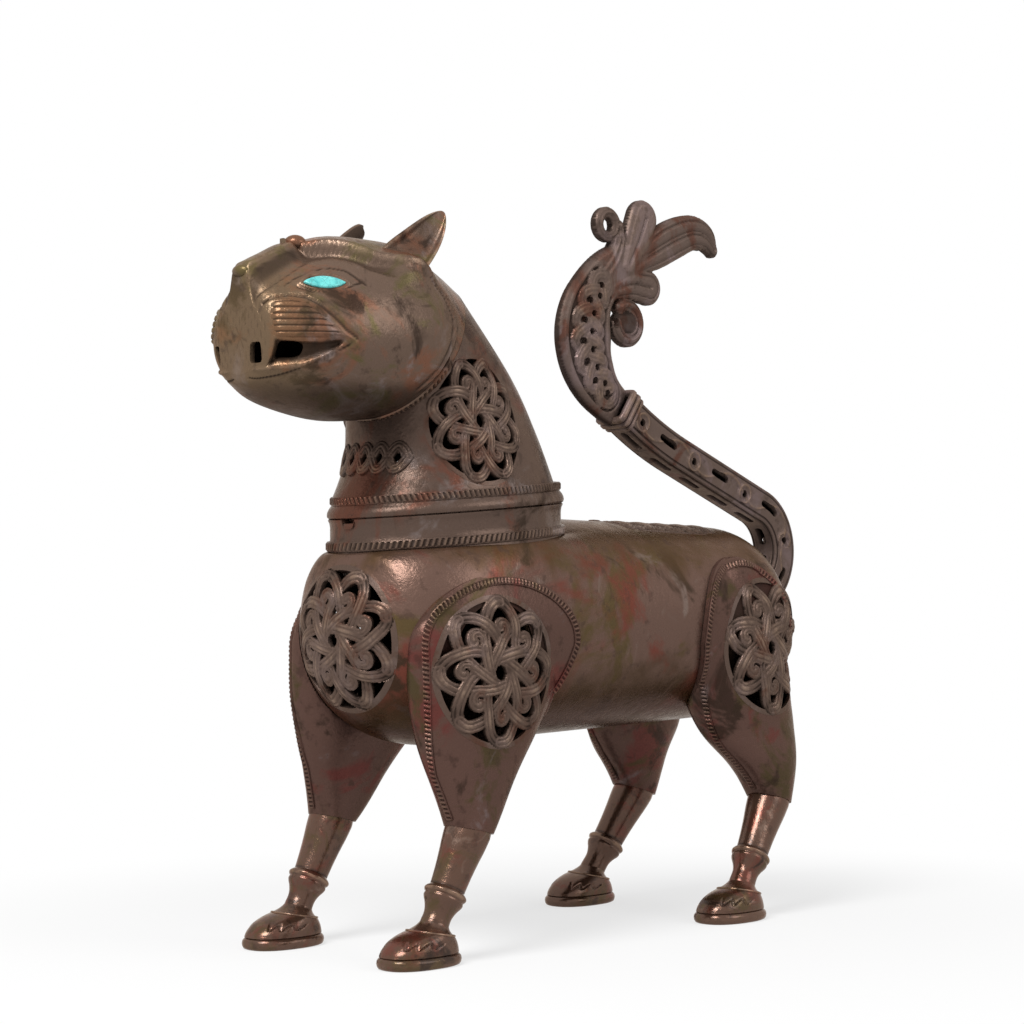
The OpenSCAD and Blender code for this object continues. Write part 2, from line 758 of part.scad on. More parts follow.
// Head: rings given by an under point, a top point, a half width and a narrowing towards the top

nape = neck_stations[3];
head_stations = [
    nape + [-1, 1, -1, 1, 0, 0] * braze,
    [-121, chin_z - 1.5, -84, crown_z - 1, cheek_w - 1.5, 0.12],
    [-136, chin_z - 2, -112, crown_z + 1.5, cheek_w, 0.08],
    [-151, chin_z, -136, crown_z - 0.5, cheek_w - 2, 0.08],
    [-166, chin_z + 3.5, -157, crown_z - 7, mix(cheek_w, muzzle_w, 0.5), 0.1],
    [nose_y + 11, chin_z + 7.5, nose_y + 15, crown_z - 14, muzzle_w, 0.08],
    [nose_y + 3, chin_z + 11.5, nose_y + 4, crown_z - 20, muzzle_w * 0.76, 0.05],
    [nose_y, chin_z + 16, nose_y, crown_z - 27, muzzle_w * 0.52, 0]
];
head_last = 7;
head_steps = 17;
hollow_steps = 8;
hollow_last = 6.3;

// Ridge: where the nose bar starts, how much higher its tip is, and the brow's place, sweep and reach
nose_s = 3.2;
nose_lift = 1.8;
brow_s = 3.7;
brow_sweep = 0.045;
brow_half = 0.42;
brow_reach = 40;

// Height of the T-shaped nose and brow ridge at station s and distance x from the middle
function ridge(s, x, up) =
    let(brow = brow_s - brow_sweep * abs(x))
    let(ends = fade((s - nose_s) / 0.8) * fade((head_last - s) / 0.4))
    let(bar = ends * mix(1, nose_lift, fade((s - nose_s - 0.8) / 2.2)) * exp(-pow(x / ridge_w, 4)))
    let(bow = exp(-pow((s - brow) / brow_half, 2)) * fade((brow_reach - abs(x)) / 10))
    up > 0 ? ridge_h * max(bar, bow * up) : 0;
function head_point(s, t) =
    let(st = through(head_stations, s), a = [st[0], st[1]], b = [st[2], st[3]])
    let(p = oval_point((a + b) / 2, (b - a) / 2, st[4], st[5], t))
    let(r = ridge(s, p[0], sin(t)) * unit(b - a))
    [p[0], p[1] + r[0], p[2] + r[1]];
function head_ring(s) = [for (i = [0 : ring_n - 1]) head_point(s, 360 * i / ring_n)];

eye_proud = 0.8;
eye_s = 4;
eye_t = 37;
eye_mid = head_point(eye_s, eye_t);
eye_out = normal(eye_mid, head_point(eye_s, eye_t + 1), head_point(eye_s + 0.02, eye_t));

module almond(l, h, d) {
    r = (l * l / 4 + h * h / 4) / h;
    intersection() {
        translate([0, h / 2 - r]) circle(r - d);
        translate([0, r - h / 2]) circle(r - d);
    }
}

// Pierced gaps of the open mouth: station, angle, width and height
mouth_gaps = [[6.2, -14, 6, 13], [5.2, -14, 17, 11]];

module mouth_gap(s, t, w, h) {
    p = head_point(s, t);
    facing(p, normal(p, head_point(s, t + 1), head_point(s + 0.02, t)))
        translate([0, 0, -3 * wall]) linear_extrude(6 * wall) square([w, h], center = true);
}

module head_shell() color(brown) difference() {
    skin(concat(
        [
            for (i = [hollow_steps : -1 : 0])
                oval(grown(through(head_stations, hollow_last * i / hollow_steps), -wall))
        ],
        [for (i = [0 : head_steps]) head_ring(head_last * i / head_steps)]
    ));
    for (m = [0, 1]) mirror([m, 0, 0]) {
        facing(eye_mid, eye_out) translate([0, 0, -eye_deep])
            linear_extrude(4 * eye_deep) almond(eye_l, eye_h, 0);
        for (g = mouth_gaps) mouth_gap(g[0], g[1], g[2], g[3]);
    }
}

module eye() {
    facing(eye_mid, eye_out) translate([0, 0, braze - eye_deep])
        linear_extrude(eye_deep + eye_proud) almond(eye_l, eye_h, panel_play);
}

module left_eye() color(turquoise) eye();
module right_eye() color(turquoise) other_side() eye();

// Ear: a leaning point on a base that follows the head

ear_n = 20;
ear_s = 1.75;
ear_t = 52;
ear_span_s = 0.5;
ear_span_t = 13;
ear_play = 0.4;
ear_tip_back = 25;
ear_tip_out = 4;
ear_under = [0.04, 0.35, 0.7];
ear_rise = [0, 0.2, 0.45, 0.7, 0.9, 0.985];
ear_waist = 0.35;

// Ring of the ear's underside, f of its full size, just clear of the head
function ear_ring(f, out) = [
    for (i = [0 : ear_n - 1]) let(a = 360 * i / ear_n)
    head_point(ear_s - f * ear_span_s * sin(a), ear_t - f * ear_span_t * cos(a)) + out * ear_play
];

module ear() {
    mid = head_point(ear_s, ear_t);
    out = normal(mid, head_point(ear_s, ear_t + 1), head_point(ear_s + 0.02, ear_t));
    tip = mid + [ear_tip_out, ear_tip_back, ear_h];
    base = ear_ring(1, out);
    skin(concat(
        [for (f = ear_under) ear_ring(f, out)],
        [for (f = ear_rise) [for (p = base) mix(p, tip, f) + (mid - p) * ear_waist * f * (1 - f)]]
    ));
}

module left_ear() color(brown) ear();
module right_ear() color(brown) other_side() ear();

torso_shell();
neck_collar();
chest_grille();
back_grille();
front_left_leg_case();
front_right_leg_case();
rear_left_leg_case();
rear_right_leg_case();
front_left_grille();
front_right_grille();
rear_left_grille();
rear_right_grille();
front_left_shank();
front_right_shank();
rear_left_shank();
rear_right_shank();
front_left_paw();
front_right_paw();
rear_left_paw();
rear_right_paw();
tail_stem();
tail_plume();
neck_shell();
neck_left_grille();
neck_right_grille();
head_shell();
left_ear();
right_ear();
left_eye();
right_eye();
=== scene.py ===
import bpy
import numpy as np
from mathutils import Matrix


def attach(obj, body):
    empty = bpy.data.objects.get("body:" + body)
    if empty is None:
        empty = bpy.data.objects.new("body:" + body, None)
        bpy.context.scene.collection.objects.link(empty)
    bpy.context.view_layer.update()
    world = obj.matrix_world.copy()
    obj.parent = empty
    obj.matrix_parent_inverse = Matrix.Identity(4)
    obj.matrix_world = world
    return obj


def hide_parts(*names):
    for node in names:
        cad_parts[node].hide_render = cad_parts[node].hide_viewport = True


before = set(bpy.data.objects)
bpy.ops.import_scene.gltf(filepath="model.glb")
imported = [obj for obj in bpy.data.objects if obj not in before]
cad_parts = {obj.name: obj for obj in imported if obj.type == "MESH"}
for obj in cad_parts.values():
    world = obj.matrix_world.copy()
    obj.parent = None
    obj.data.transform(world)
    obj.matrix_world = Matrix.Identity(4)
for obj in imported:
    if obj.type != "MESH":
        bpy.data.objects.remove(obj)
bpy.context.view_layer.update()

# Sizes are in millimetres: +Z up, the lion looks towards -Y and its left side is +X
MM = 0.001
WALL = 2.6
AXIS_Z = 146
CHEST_R, RUMP_R = 54, 49
CHEST_Y, RUMP_Y = -72, 116
CHEST_LEN, RUMP_LEN = 60, 38
FULLNESS = 2.4
COLLAR_Y, COLLAR_A, COLLAR_B = -61, 61, 45
SEAM_FRONT_Z, SEAM_BACK_Z = 196, 205.5
COLLAR_WALL = 3
CHEST_GRILLE_Z, CHEST_GRILLE_R = 142, 33
BACK_Y, BACK_HALF, BACK_W = 76, 39, 22
PAD_RIM = 2
SMOKE_Z, SMOKE_R = 135, 23
PAD_POWER = 2.2
HUG = 0.4


# Small shape helpers

def ease(f):
    """Smooth step from 0 to 1 over f = 0 to 1."""
    f = np.clip(f, 0, 1)
    return f * f * (3 - 2 * f)


def mix(a, b, f):
    return a + (b - a) * f


def bell(d, w):
    """Bell curve of half width w."""
    return np.exp(-(d / w) ** 2)


def unit(v):
    return v / np.maximum(np.linalg.norm(v, axis=-1, keepdims=True), 1e-9)


def signed_power(v, p):
    return np.sign(v) * np.abs(v) ** p


def through(rows, t):
    """Smooth curve (Catmull-Rom cubic) through the rows at the running number t."""
    rows = np.asarray(rows, float)
    n = len(rows) - 1
    t = np.asarray(t, float)
    i = np.clip(np.floor(t).astype(int), 0, n - 1)
    f = (t - i)[..., None]
    a = rows[np.maximum(i - 1, 0)]
    b = rows[i]
    c = rows[i + 1]
    d = rows[np.minimum(i + 2, n)]
    return b + 0.5 * f * ((c - a) + f * ((2 * a - 5 * b + 4 * c - d) + f * (3 * (b - c) + d - a)))


def grid(rows, columns):
    return np.meshgrid(rows, columns, indexing="ij")


def places(a, b):
    """Two grids of coordinates as one list of places in a plane."""
    return np.stack([a, b], -1).reshape(-1, 2).astype(np.float32)


def outward(surface, a, b, step=0.01):
    """Unit normals of a surface of two parameters, from short steps along both."""
    here = surface(a, b)
    return unit(np.cross(surface(a, b + step) - here, surface(a + step, b) - here))


def from_nearest(l, first, pitch):
    """Signed distance to the nearest of many places along a length, a pitch apart."""
    return (((l - first) / pitch + 0.5) % 1 - 0.5) * pitch


def round_angles(n):
    """n angles of a full turn without the last one."""
    return np.linspace(0, 2 * np.pi, n, endpoint=False)


def slopes(values, wrap):
    """Differences of a grid along its two parameters, for one step of the grid."""
    found = []
    for axis, closed in enumerate(wrap):
        if closed:
            found.append((np.roll(values, -1, axis) - np.roll(values, 1, axis)) / 2)
        else:
            found.append(np.gradient(values, axis=axis))
    return found


def normals(points, wrap=(False, True)):
    """Unit normals of a grid of points, turned away from the middle of each row."""
    a, b = slopes(points, wrap)
    n = unit(np.cross(a, b))
    outwards = np.sum((points - points.mean(1, keepdims=True)) * n)
    return n if outwards > 0 else -n


# Meshes: each part is (points, four-sided faces, relief); relief is a colour mark, 0.5 where the surface is
# plain, lower for painted shade, higher for rubbed wear and painted highlight

def cells(n0, n1, wrap):
    """Corner numbers of every cell of an n0 by n1 grid of points."""
    index = np.arange(n0 * n1).reshape(n0, n1)
    c0 = n0 if wrap[0] else n0 - 1
    c1 = n1 if wrap[1] else n1 - 1
    next_row = np.roll(index, -1, 0)
    corners = [index, next_row, np.roll(next_row, -1, 1), np.roll(index, -1, 1)]
    return np.stack([c[:c0, :c1] for c in corners], -1)


def shell(outer, inner, wrap, field=None, relief=None):
    """Closed wall between two grids, open where field < 0; the edge is drawn onto field = 0."""
    n0, n1 = outer.shape[:2]
    n = n0 * n1
    cell = cells(n0, n1, wrap)
    c0, c1 = cell.shape[:2]
    keep = np.ones((c0, c1), bool)
    if field is not None:
        keep = field.ravel()[cell].mean(-1) > 0
        kept = np.bincount(cell[keep].ravel(), minlength=n).reshape(n0, n1)
        every = np.bincount(cell.ravel(), minlength=n).reshape(n0, n1)
        at_edge = ((kept > 0) & (kept < every))[..., None]
        g0, g1 = slopes(field, wrap)
        step = field / (g0 ** 2 + g1 ** 2 + 1e-9)
        d0 = np.clip(-step * g0, -0.7, 0.7)[..., None]
        d1 = np.clip(-step * g1, -0.7, 0.7)[..., None]
        drawn = []
        for side in (outer, inner):
            s0, s1 = slopes(side, wrap)
            drawn.append(side + at_edge * (d0 * s0 + d1 * s1))
        outer, inner = drawn
    faces = [cell[keep], cell[keep][:, ::-1] + n]
    index = np.arange(n).reshape(n0, n1)
    none = np.zeros((c0, 1), bool)
    before = np.roll(keep, 1, 1) if wrap[1] else np.concatenate([none, keep], 1)
    after = keep if wrap[1] else np.concatenate([keep, none], 1)
    a = index[:c0]
    b = np.roll(index, -1, 0)[:c0]
    faces.append(np.stack([b, a, a + n, b + n], -1)[after & ~before])
    faces.append(np.stack([a, b, b + n, a + n], -1)[before & ~after])
    none = np.zeros((1, c1), bool)
    below = np.roll(keep, 1, 0) if wrap[0] else np.concatenate([none, keep], 0)
    above = keep if wrap[0] else np.concatenate([keep, none], 0)
    a = index[:, :c1]
    b = np.roll(index, -1, 1)[:, :c1]
    faces.append(np.stack([a, b, b + n, a + n], -1)[above & ~below])
    faces.append(np.stack([b, a, a + n, b + n], -1)[below & ~above])
    if relief is None:
        relief = np.full((n0, n1), 0.5)
    # Inner faces get the relief mark 0.12: painted shade inside the walls
    points = np.concatenate([outer.reshape(-1, 3), inner.reshape(-1, 3)])
    return points, np.concatenate(faces), np.concatenate([relief.ravel(), np.full(n, 0.12)])


def solid(points, wrap=(False, True), relief=None):
    """Closed surface through a grid of rings; the first and last ring are closed by a fan."""
    if relief is None:
        relief = np.full(points.shape[:2], 0.5)
    if not wrap[0]:
        first = np.broadcast_to(points[:1].mean(1, keepdims=True), points[:1].shape)
        last = np.broadcast_to(points[-1:].mean(1, keepdims=True), points[-1:].shape)
        points = np.concatenate([first, points, last])
        relief = np.concatenate([relief[:1], relief, relief[-1:]])
    cell = cells(points.shape[0], points.shape[1], wrap)
    return points.reshape(-1, 3), cell.reshape(-1, 4), relief.ravel()


def other_side(parts):
    """Mirror image of parts across the middle plane x = 0."""
    return [(points * [-1, 1, 1], faces[:, ::-1], relief) for points, faces, relief in parts]


def welded(part):
    """Merges points that coincide, drops unused points and turns the faces outwards."""
    points, faces, relief = part
    used, faces = np.unique(faces, return_inverse=True)
    points = points[used]
    relief = relief[used]
    _, first, same = np.unique(np.round(points * 1000).astype(np.int64), axis=0, return_index=True,
                               return_inverse=True)
    faces = same.ravel()[faces.reshape(-1, 4)]
    points = points[first]
    relief = relief[first]
    twin = faces == np.roll(faces, -1, 1)
    count = twin.sum(1)
    quads = faces[count == 0]
    tris = faces[count == 1][~twin[count == 1]].reshape(-1, 3)
    fan = np.concatenate([quads[:, [0, 1, 2]], quads[:, [0, 2, 3]], tris])
    a, b, c = (points[fan[:, k]] for k in range(3))
    if np.sum(a * np.cross(b, c)) < 0:
        quads = quads[:, ::-1]
        tris = tris[:, ::-1]
    return points, quads, tris, relief


# Edges sharper than these angles stay sharp
SMOOTH_BELOW, HEAD_SMOOTH_BELOW = 40, 75


def cast(name, parts, body, node, finish, sharp=SMOOTH_BELOW):
    """One piece of the burner: puts its parts into a mesh and lets it stand for a solid."""
    points, corners, sizes, relief = [], [], [], []
    base = 0
    for part in parts:
        p, quads, tris, r = welded(part)
        points.append(p)
        relief.append(r)
        corners += [quads.ravel() + base, tris.ravel() + base]
        sizes += [np.full(len(quads), 4), np.full(len(tris), 3)]
        base += len(p)
    points = np.concatenate(points) * MM
    corners = np.concatenate(corners)
    sizes = np.concatenate(sizes)
    mesh = bpy.data.meshes.new(name)
    mesh.vertices.add(len(points))
    mesh.vertices.foreach_set("co", points.astype(np.float32).ravel())
    mesh.loops.add(len(corners))
    mesh.loops.foreach_set("vertex_index", corners.astype(np.int32))
    mesh.polygons.add(len(sizes))
    mesh.polygons.foreach_set("loop_start", (np.cumsum(sizes) - sizes).astype(np.int32))
    mesh.update(calc_edges=True)
    mesh.validate()
    mesh.attributes.new("relief", "FLOAT", "POINT")
    mesh.attributes["relief"].data.foreach_set("value", np.concatenate(relief).astype(np.float32))
    mesh.shade_smooth()
    mesh.set_sharp_from_angle(angle=np.radians(sharp))
    mesh.materials.append(finish)
    piece = bpy.data.objects.new(name, mesh)
    bpy.context.scene.collection.objects.link(piece)
    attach(piece, body)
    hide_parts(node)


def cast_pair(name, parts, body, node, finish):
    """A piece of the left side and its mirror image on the right."""
    cast(name, parts, body, node, finish)
    name, node = (words.replace("left", "right") for words in (name, node))
    cast(name, other_side(parts), body, node, finish)


# Finishes

class Wire:
    """A node socket that takes part in sums; node() adds any other node to the same tree."""

    def __init__(self, tree, socket=None):
        self.tree = tree
        self.socket = socket

    def node(self, kind, settings=None, sockets=None, out=0):
        made = self.tree.nodes.new(kind)
        for key, value in (settings or {}).items():
            setattr(made, key, value)
        for key, value in (sockets or {}).items():
            if isinstance(value, Wire):
                self.tree.links.new(value.socket, made.inputs[key])
            else:
                made.inputs[key].default_value = value
        return Wire(self.tree, made.outputs[out] if made.outputs else None)

    def math(self, operation, a, b, clamp=False):
        return self.node("ShaderNodeMath", {"operation": operation, "use_clamp": clamp}, {0: a, 1: b})

    def __add__(self, other):
        return self.math("ADD", self, other)

    __radd__ = __add__

    def __sub__(self, other):
        return self.math("SUBTRACT", self, other)

    def __rsub__(self, other):
        return self.math("SUBTRACT", other, self)

    def __mul__(self, other):
        return self.math("MULTIPLY", self, other)

    __rmul__ = __mul__

    def clamped(self):
        return self.math("ADD", self, 0.0, True)

    def between(self, low, high):
        """0 below low, 1 above high, smooth between."""
        return self.node("ShaderNodeMapRange", {"interpolation_type": "SMOOTHSTEP"},
                         {"Value": self, "From Min": low, "From Max": high})

    def blend(self, a, b):
        """Colour a where this is 0 and b where it is 1."""
        kind = {"data_type": "RGBA", "clamp_factor": True}
        return self.node("ShaderNodeMix", kind, {0: self, 6: a, 7: b}, 2)


def rgb(red, green, blue):
    """Display values 0 to 255 as linear colour."""
    v = np.array([red, green, blue]) / 255
    v = np.where(v <= 0.04045, v / 12.92, ((v + 0.055) / 1.055) ** 2.4)
    return (*[float(c) for c in v], 1.0)


def noise(wire, where, scale, detail, rough, warp=0.0):
    return wire.node("ShaderNodeTexNoise", None, {"Vector": where, "Scale": scale, "Detail": detail,
                                                 "Roughness": rough, "Distortion": warp})


def new_finish(name):
    """Empty material and the wire that fills it."""
    made = bpy.data.materials.new(name)
    made.use_nodes = True
    made.node_tree.nodes.clear()
    return made, Wire(made.node_tree)


def darker(colour, share):
    return tuple(share * c for c in colour[:3]) + (1.0,)


# Scales of the noise in a finish, per metre
FINE, GRAIN, BROAD, SPOT = 240.0, 720.0, 36.0, 130.0
BUMP, STONE_BUMP = 0.0006, 0.0002
SHEEN, STONE_SHEEN = 0.12, 0.4
STONE_COAT = 0.3
WARM_EDGE = (0.62, 0.42, 0.27, 1.0)
CLEAR_EDGE = (1.0, 1.0, 1.0, 1.0)


def show(wire, colour, rough, metal, bump_height, bump_distance, coat, sheen, edge):
    """Surface shader: colour, roughness and bump change over the surface, the rest is constant."""
    bump = wire.node("ShaderNodeBump", None,
                     {"Strength": 0.6, "Distance": bump_distance, "Height": bump_height})
    sockets = {"Base Color": colour, "Roughness": rough, "Metallic": metal, "Normal": bump,
               "Coat Weight": coat, "Coat Roughness": 0.22, "Specular IOR Level": sheen,
               "Specular Tint": edge}
    surface = wire.node("ShaderNodeBsdfPrincipled", None, sockets)
    wire.node("ShaderNodeOutputMaterial", None, {"Surface": surface})


def bronze(name, ground, tints, wear_and_highlight, gloss, regions=(), metal=0.45, coat=0.02):
    """Patinated bronze: a ground with clouds of tints, painted shade in hollows, rubbed wear and painted
    highlight on ridges.

    Each tint is (colour, size of its clouds, where a cloud begins, where it is full). A region is
    (colour, axis, place where it begins, place where it is full, strength)."""
    made, wire = new_finish(name)
    where = wire.node("ShaderNodeTexCoord", out=3)
    relief = wire.node("ShaderNodeAttribute", {"attribute_name": "relief"}, out=2)
    fine = noise(wire, where, FINE, 5.0, 0.6)
    grain = noise(wire, where, GRAIN, 3.0, 0.6)
    broad = noise(wire, where, BROAD, 5.0, 0.6, 0.5)
    colour = ground
    for tint, scale, first, last in tints:
        cloud = noise(wire, where, scale, 5.0, 0.64, 0.7).between(first, last) * 0.9
        colour = cloud.blend(colour, tint)
    for tint, axis, first, last, weight in regions:
        along = wire.node("ShaderNodeSeparateXYZ", None, {0: where}, axis)
        inside = (along + (broad - 0.5) * 0.05).between(first, last) * weight
        colour = inside.blend(colour, tint)
    spots = noise(wire, where, SPOT, 4.0, 0.65).between(0.56, 0.68) * 0.55
    colour = spots.blend(colour, darker(ground, 0.45))
    # Painted shade: colour darkens towards near black where the relief mark is low, in hollows, grooves and
    # on inner faces
    hollow = 1 - relief.between(0.12, 0.45)
    # Rubbed wear and painted highlight: raised places with a high relief mark turn lighter
    ridge = relief.between(0.58, 0.95) * fine.between(0.3, 0.62)
    colour = (hollow * 0.85).blend(colour, darker(ground, 0.2))
    colour = (ridge * 0.6).blend(colour, wear_and_highlight)
    rough = (gloss + (broad - 0.5) * 0.4 + (fine - 0.5) * 0.3 + spots * 0.15 + hollow * 0.25).clamped()
    height = fine * 0.6 + grain * 0.4 + broad * 0.9
    show(wire, colour, rough, metal, height, BUMP, coat, SHEEN, WARM_EDGE)
    return made


def turquoise(name):
    """Polished turquoise with darker veins."""
    made, wire = new_finish(name)
    where = wire.node("ShaderNodeTexCoord", out=3)
    clouds = noise(wire, where, 180.0, 4.0, 0.6)
    veins = wire.node("ShaderNodeTexVoronoi", {"feature": "DISTANCE_TO_EDGE"},
                      {"Vector": where, "Scale": 330.0})
    colour = clouds.between(0.35, 0.65).blend(rgb(58, 162, 162), rgb(104, 198, 194))
    colour = ((1 - veins.between(0.0, 0.07)) * 0.4).blend(colour, rgb(40, 96, 100))
    rough = 0.16 + clouds * 0.2
    show(wire, colour, rough, 0.0, clouds, STONE_BUMP, STONE_COAT, STONE_SHEEN, CLEAR_EDGE)
    return made


Y_AXIS, Z_AXIS = 1, 2
# Colour of raised ridges in the bronzes below: rubbed wear with painted highlight
worn_edge_and_highlight = rgb(146, 120, 98)
torso_finish = bronze("torso_bronze", rgb(99, 77, 68),
                      [(rgb(82, 68, 42), 17.0, 0.5, 0.6), (rgb(106, 55, 46), 14.0, 0.5, 0.62),
                       (rgb(54, 42, 33), 27.0, 0.55, 0.65), (rgb(116, 100, 92), 40.0, 0.6, 0.74)],
                      worn_edge_and_highlight, 0.27,
                      # Darker olive towards the bottom of the barrel: olive patina with painted shade of
                      # the underside
                      [(rgb(50, 36, 19), Z_AXIS, 0.136, 0.104, 0.9),
                       (rgb(72, 53, 30), Z_AXIS, 0.17, 0.19, 0.75)])
leg_finish = bronze("leg_bronze", rgb(86, 64, 57),
                    [(rgb(94, 50, 46), 19.0, 0.5, 0.6), (rgb(68, 58, 38), 25.0, 0.52, 0.62),
                     (rgb(106, 92, 90), 34.0, 0.58, 0.72), (rgb(48, 36, 30), 30.0, 0.56, 0.66)],
                    worn_edge_and_highlight, 0.29)
head_finish = bronze("head_bronze", rgb(100, 82, 71),
                     [(rgb(114, 77, 60), 24.0, 0.51, 0.62), (rgb(86, 78, 50), 28.0, 0.52, 0.64),
                      (rgb(122, 108, 104), 36.0, 0.56, 0.7), (rgb(50, 39, 33), 32.0, 0.54, 0.64)],
                     rgb(162, 136, 116), 0.3, [(rgb(108, 90, 60), Y_AXIS, -0.15, -0.19, 0.4)])
neck_finish = bronze("neck_bronze", rgb(88, 72, 64),
                     [(rgb(98, 60, 48), 20.0, 0.52, 0.64), (rgb(110, 98, 94), 30.0, 0.54, 0.68),
                      (rgb(50, 39, 32), 26.0, 0.54, 0.66)],
                     worn_edge_and_highlight, 0.3)
tail_finish = bronze("tail_bronze", rgb(94, 79, 72),
                     [(rgb(110, 94, 92), 34.0, 0.48, 0.62), (rgb(84, 54, 44), 30.0, 0.52, 0.64)],
                     worn_edge_and_highlight, 0.4)
worn_finish = bronze("worn_bronze", rgb(90, 66, 54),
                     [(rgb(98, 52, 41), 40.0, 0.5, 0.62), (rgb(78, 62, 38), 46.0, 0.52, 0.64),
                      (rgb(116, 94, 82), 60.0, 0.6, 0.72), (rgb(46, 32, 25), 50.0, 0.56, 0.66)],
                     rgb(178, 146, 120), 0.18, (), 0.6, 0.35)
openwork_finish = bronze("openwork_bronze", rgb(88, 72, 64),
                         [(rgb(100, 84, 78), 50.0, 0.5, 0.64), (rgb(80, 54, 44), 42.0, 0.52, 0.66)],
                         rgb(154, 130, 112), 0.33)
eye_stone = turquoise("turquoise_inlay")


# Corded bands and rolled edges: profiles carried along a path that lies on a surface

# Width, height, pitch of the bars and their slant
LEG_CORD = (3.8, 1.0, 2.1, 0.2)
COLLAR_CORD = (4.4, 1.3, 2.7, 0.3)
LID_CORD = (4.0, 1.2, 2.5, -0.3)
NAPE_CORD = (13, 0.8, 6.5, 0.5)
JAW_CORD = (4.2, 1.2, 2.7, 0.3)
CORD_SINK = 0.8
CORD_PROFILE = np.array([-1, -0.97, -0.8, -0.62, -0.4, -0.15, 0.15, 0.4, 0.62, 0.8, 0.97, 1])


def frame_along(path, out, closed):
    """Crosswise and outward directions at each point of a path on a surface."""
    if closed:
        tangent = unit(np.roll(path, -1, 0) - np.roll(path, 1, 0))
    else:
        tangent = unit(np.gradient(path, axis=0))
    across = unit(np.cross(tangent, out))
    return across, unit(np.cross(across, tangent))


def run_length(path):
    return np.concatenate([[0], np.cumsum(np.linalg.norm(np.diff(path, axis=0), axis=1))])


def even_path(path, out, step, closed):
    """The same path and its outward directions at even steps."""
    if closed:
        path = np.concatenate([path, path[:1]])
        out = np.concatenate([out, out[:1]])
    run = run_length(path)
    n = max(8, int(run[-1] / step))
    at = np.linspace(0, run[-1], n, endpoint=not closed)
    path, out = (np.stack([np.interp(at, run, v[:, k]) for k in range(3)], -1) for v in (path, out))
    return path, unit(out)


def corded_band(path, out, width, height, pitch, slant, closed):
    """Band with raised cross bars: height times a flat-topped profile times a bar wave along the path."""
    path, out = even_path(path, out, pitch / 6, closed)
    across, up = (v[:, None] for v in frame_along(path, out, closed))
    total = run_length(path)[-1] + (np.linalg.norm(path[0] - path[-1]) if closed else 0)
    bars = max(3, round(total / pitch))
    a, b = grid(np.linspace(0, bars, len(path), endpoint=not closed), CORD_PROFILE)
    bar = ease(0.5 + 0.85 * np.cos(2 * np.pi * (a + slant * b)))
    edge = np.where(np.abs(b) > 0.75, 0.75, 0.35 + 0.65 * bar)
    h = np.where(np.abs(b) > 0.99, -CORD_SINK, height * edge * (1 - 0.35 * b ** 6))
    if not closed:
        h = mix(-CORD_SINK, h, ease(np.minimum(a, bars - a) / 1.5))
    top = path[:, None] + across * (width / 2 * b)[..., None] + up * h[..., None]
    under = path[:, None] + across * (width / 2 * b[:, ::-1])[..., None] - up * CORD_SINK * 1.5
    # Painted shade between the bars and under the band; rubbed wear and painted highlight on the bars
    relief = np.where(np.abs(b) > 0.7, 0.55, 0.2 + 0.55 * bar)
    ring = np.concatenate([top, under[:, 1:-1]], 1)
    relief = np.concatenate([relief, np.full(under[:, 1:-1].shape[:2], 0.4)], 1)
    return solid(ring, (closed, True), relief)


def rolled_edge(path, out, radius, step):
    """Round bead along a closed path on a surface."""
    path, out = even_path(path, out, step, True)
    across, up = frame_along(path, out, True)
    t = round_angles(10)
    ring = across[:, None] * np.cos(t)[None, :, None] + up[:, None] * np.sin(t)[None, :, None]
    points = path[:, None] + ring * radius
    # Bead painted lighter on its outer crest and darker at its foot: painted highlight and painted shade
    return solid(points, (True, True), np.broadcast_to(0.5 + 0.3 * np.sin(t), points.shape[:2]))


# Openwork: interlaced strands and curled leaves in a disc of radius 1

def nearest(at, line):
    """Number of the nearest point of a line and the distance to it, for each place."""
    line = line.astype(np.float32)
    d2 = (at * at).sum(1)[:, None] - 2 * at @ line.T + (line * line).sum(1)
    k = d2.argmin(1)
    return k, np.sqrt(np.maximum(d2[np.arange(len(at)), k], 0))


def lay_strand(work, at, line, half, lift, groove=0.42):
    """Adds a strand with two grooves to the work (cover, height): the higher strand stays on top."""
    cover, height = work
    k, d = nearest(at, line)
    q = d / half[k]
    h = lift[k] + np.sqrt(np.clip(1 - q ** 4, 0, 1)) - 0.5 * bell(q - groove, 0.15)
    on_top = (q < 1) & (h > height)
    return np.maximum(cover, (1 - q) * half[k]), np.where(on_top, h, height)


RIM_IN = 0.93
BARE = -9.0


def bare_plate(at, cover=-1.0):
    """Work with nothing on it yet: how far each place lies inside a strand, and the strand's height."""
    return np.full(len(at), cover), np.full(len(at), BARE)


def stretches(n, step, lap):
    """Overlapping stretches of a line of n points."""
    return [slice(max(0, i - lap), i + step + lap + 1) for i in range(0, n, step)]


def lay_crossing(work, at, line, half, lift, step, lap):
    """Lays a strand stretch by stretch, so that it can pass over and under itself."""
    for k in stretches(len(line), step, lap):
        work = lay_strand(work, at, line[k], np.full(len(line[k]), half), lift[k])
    return work


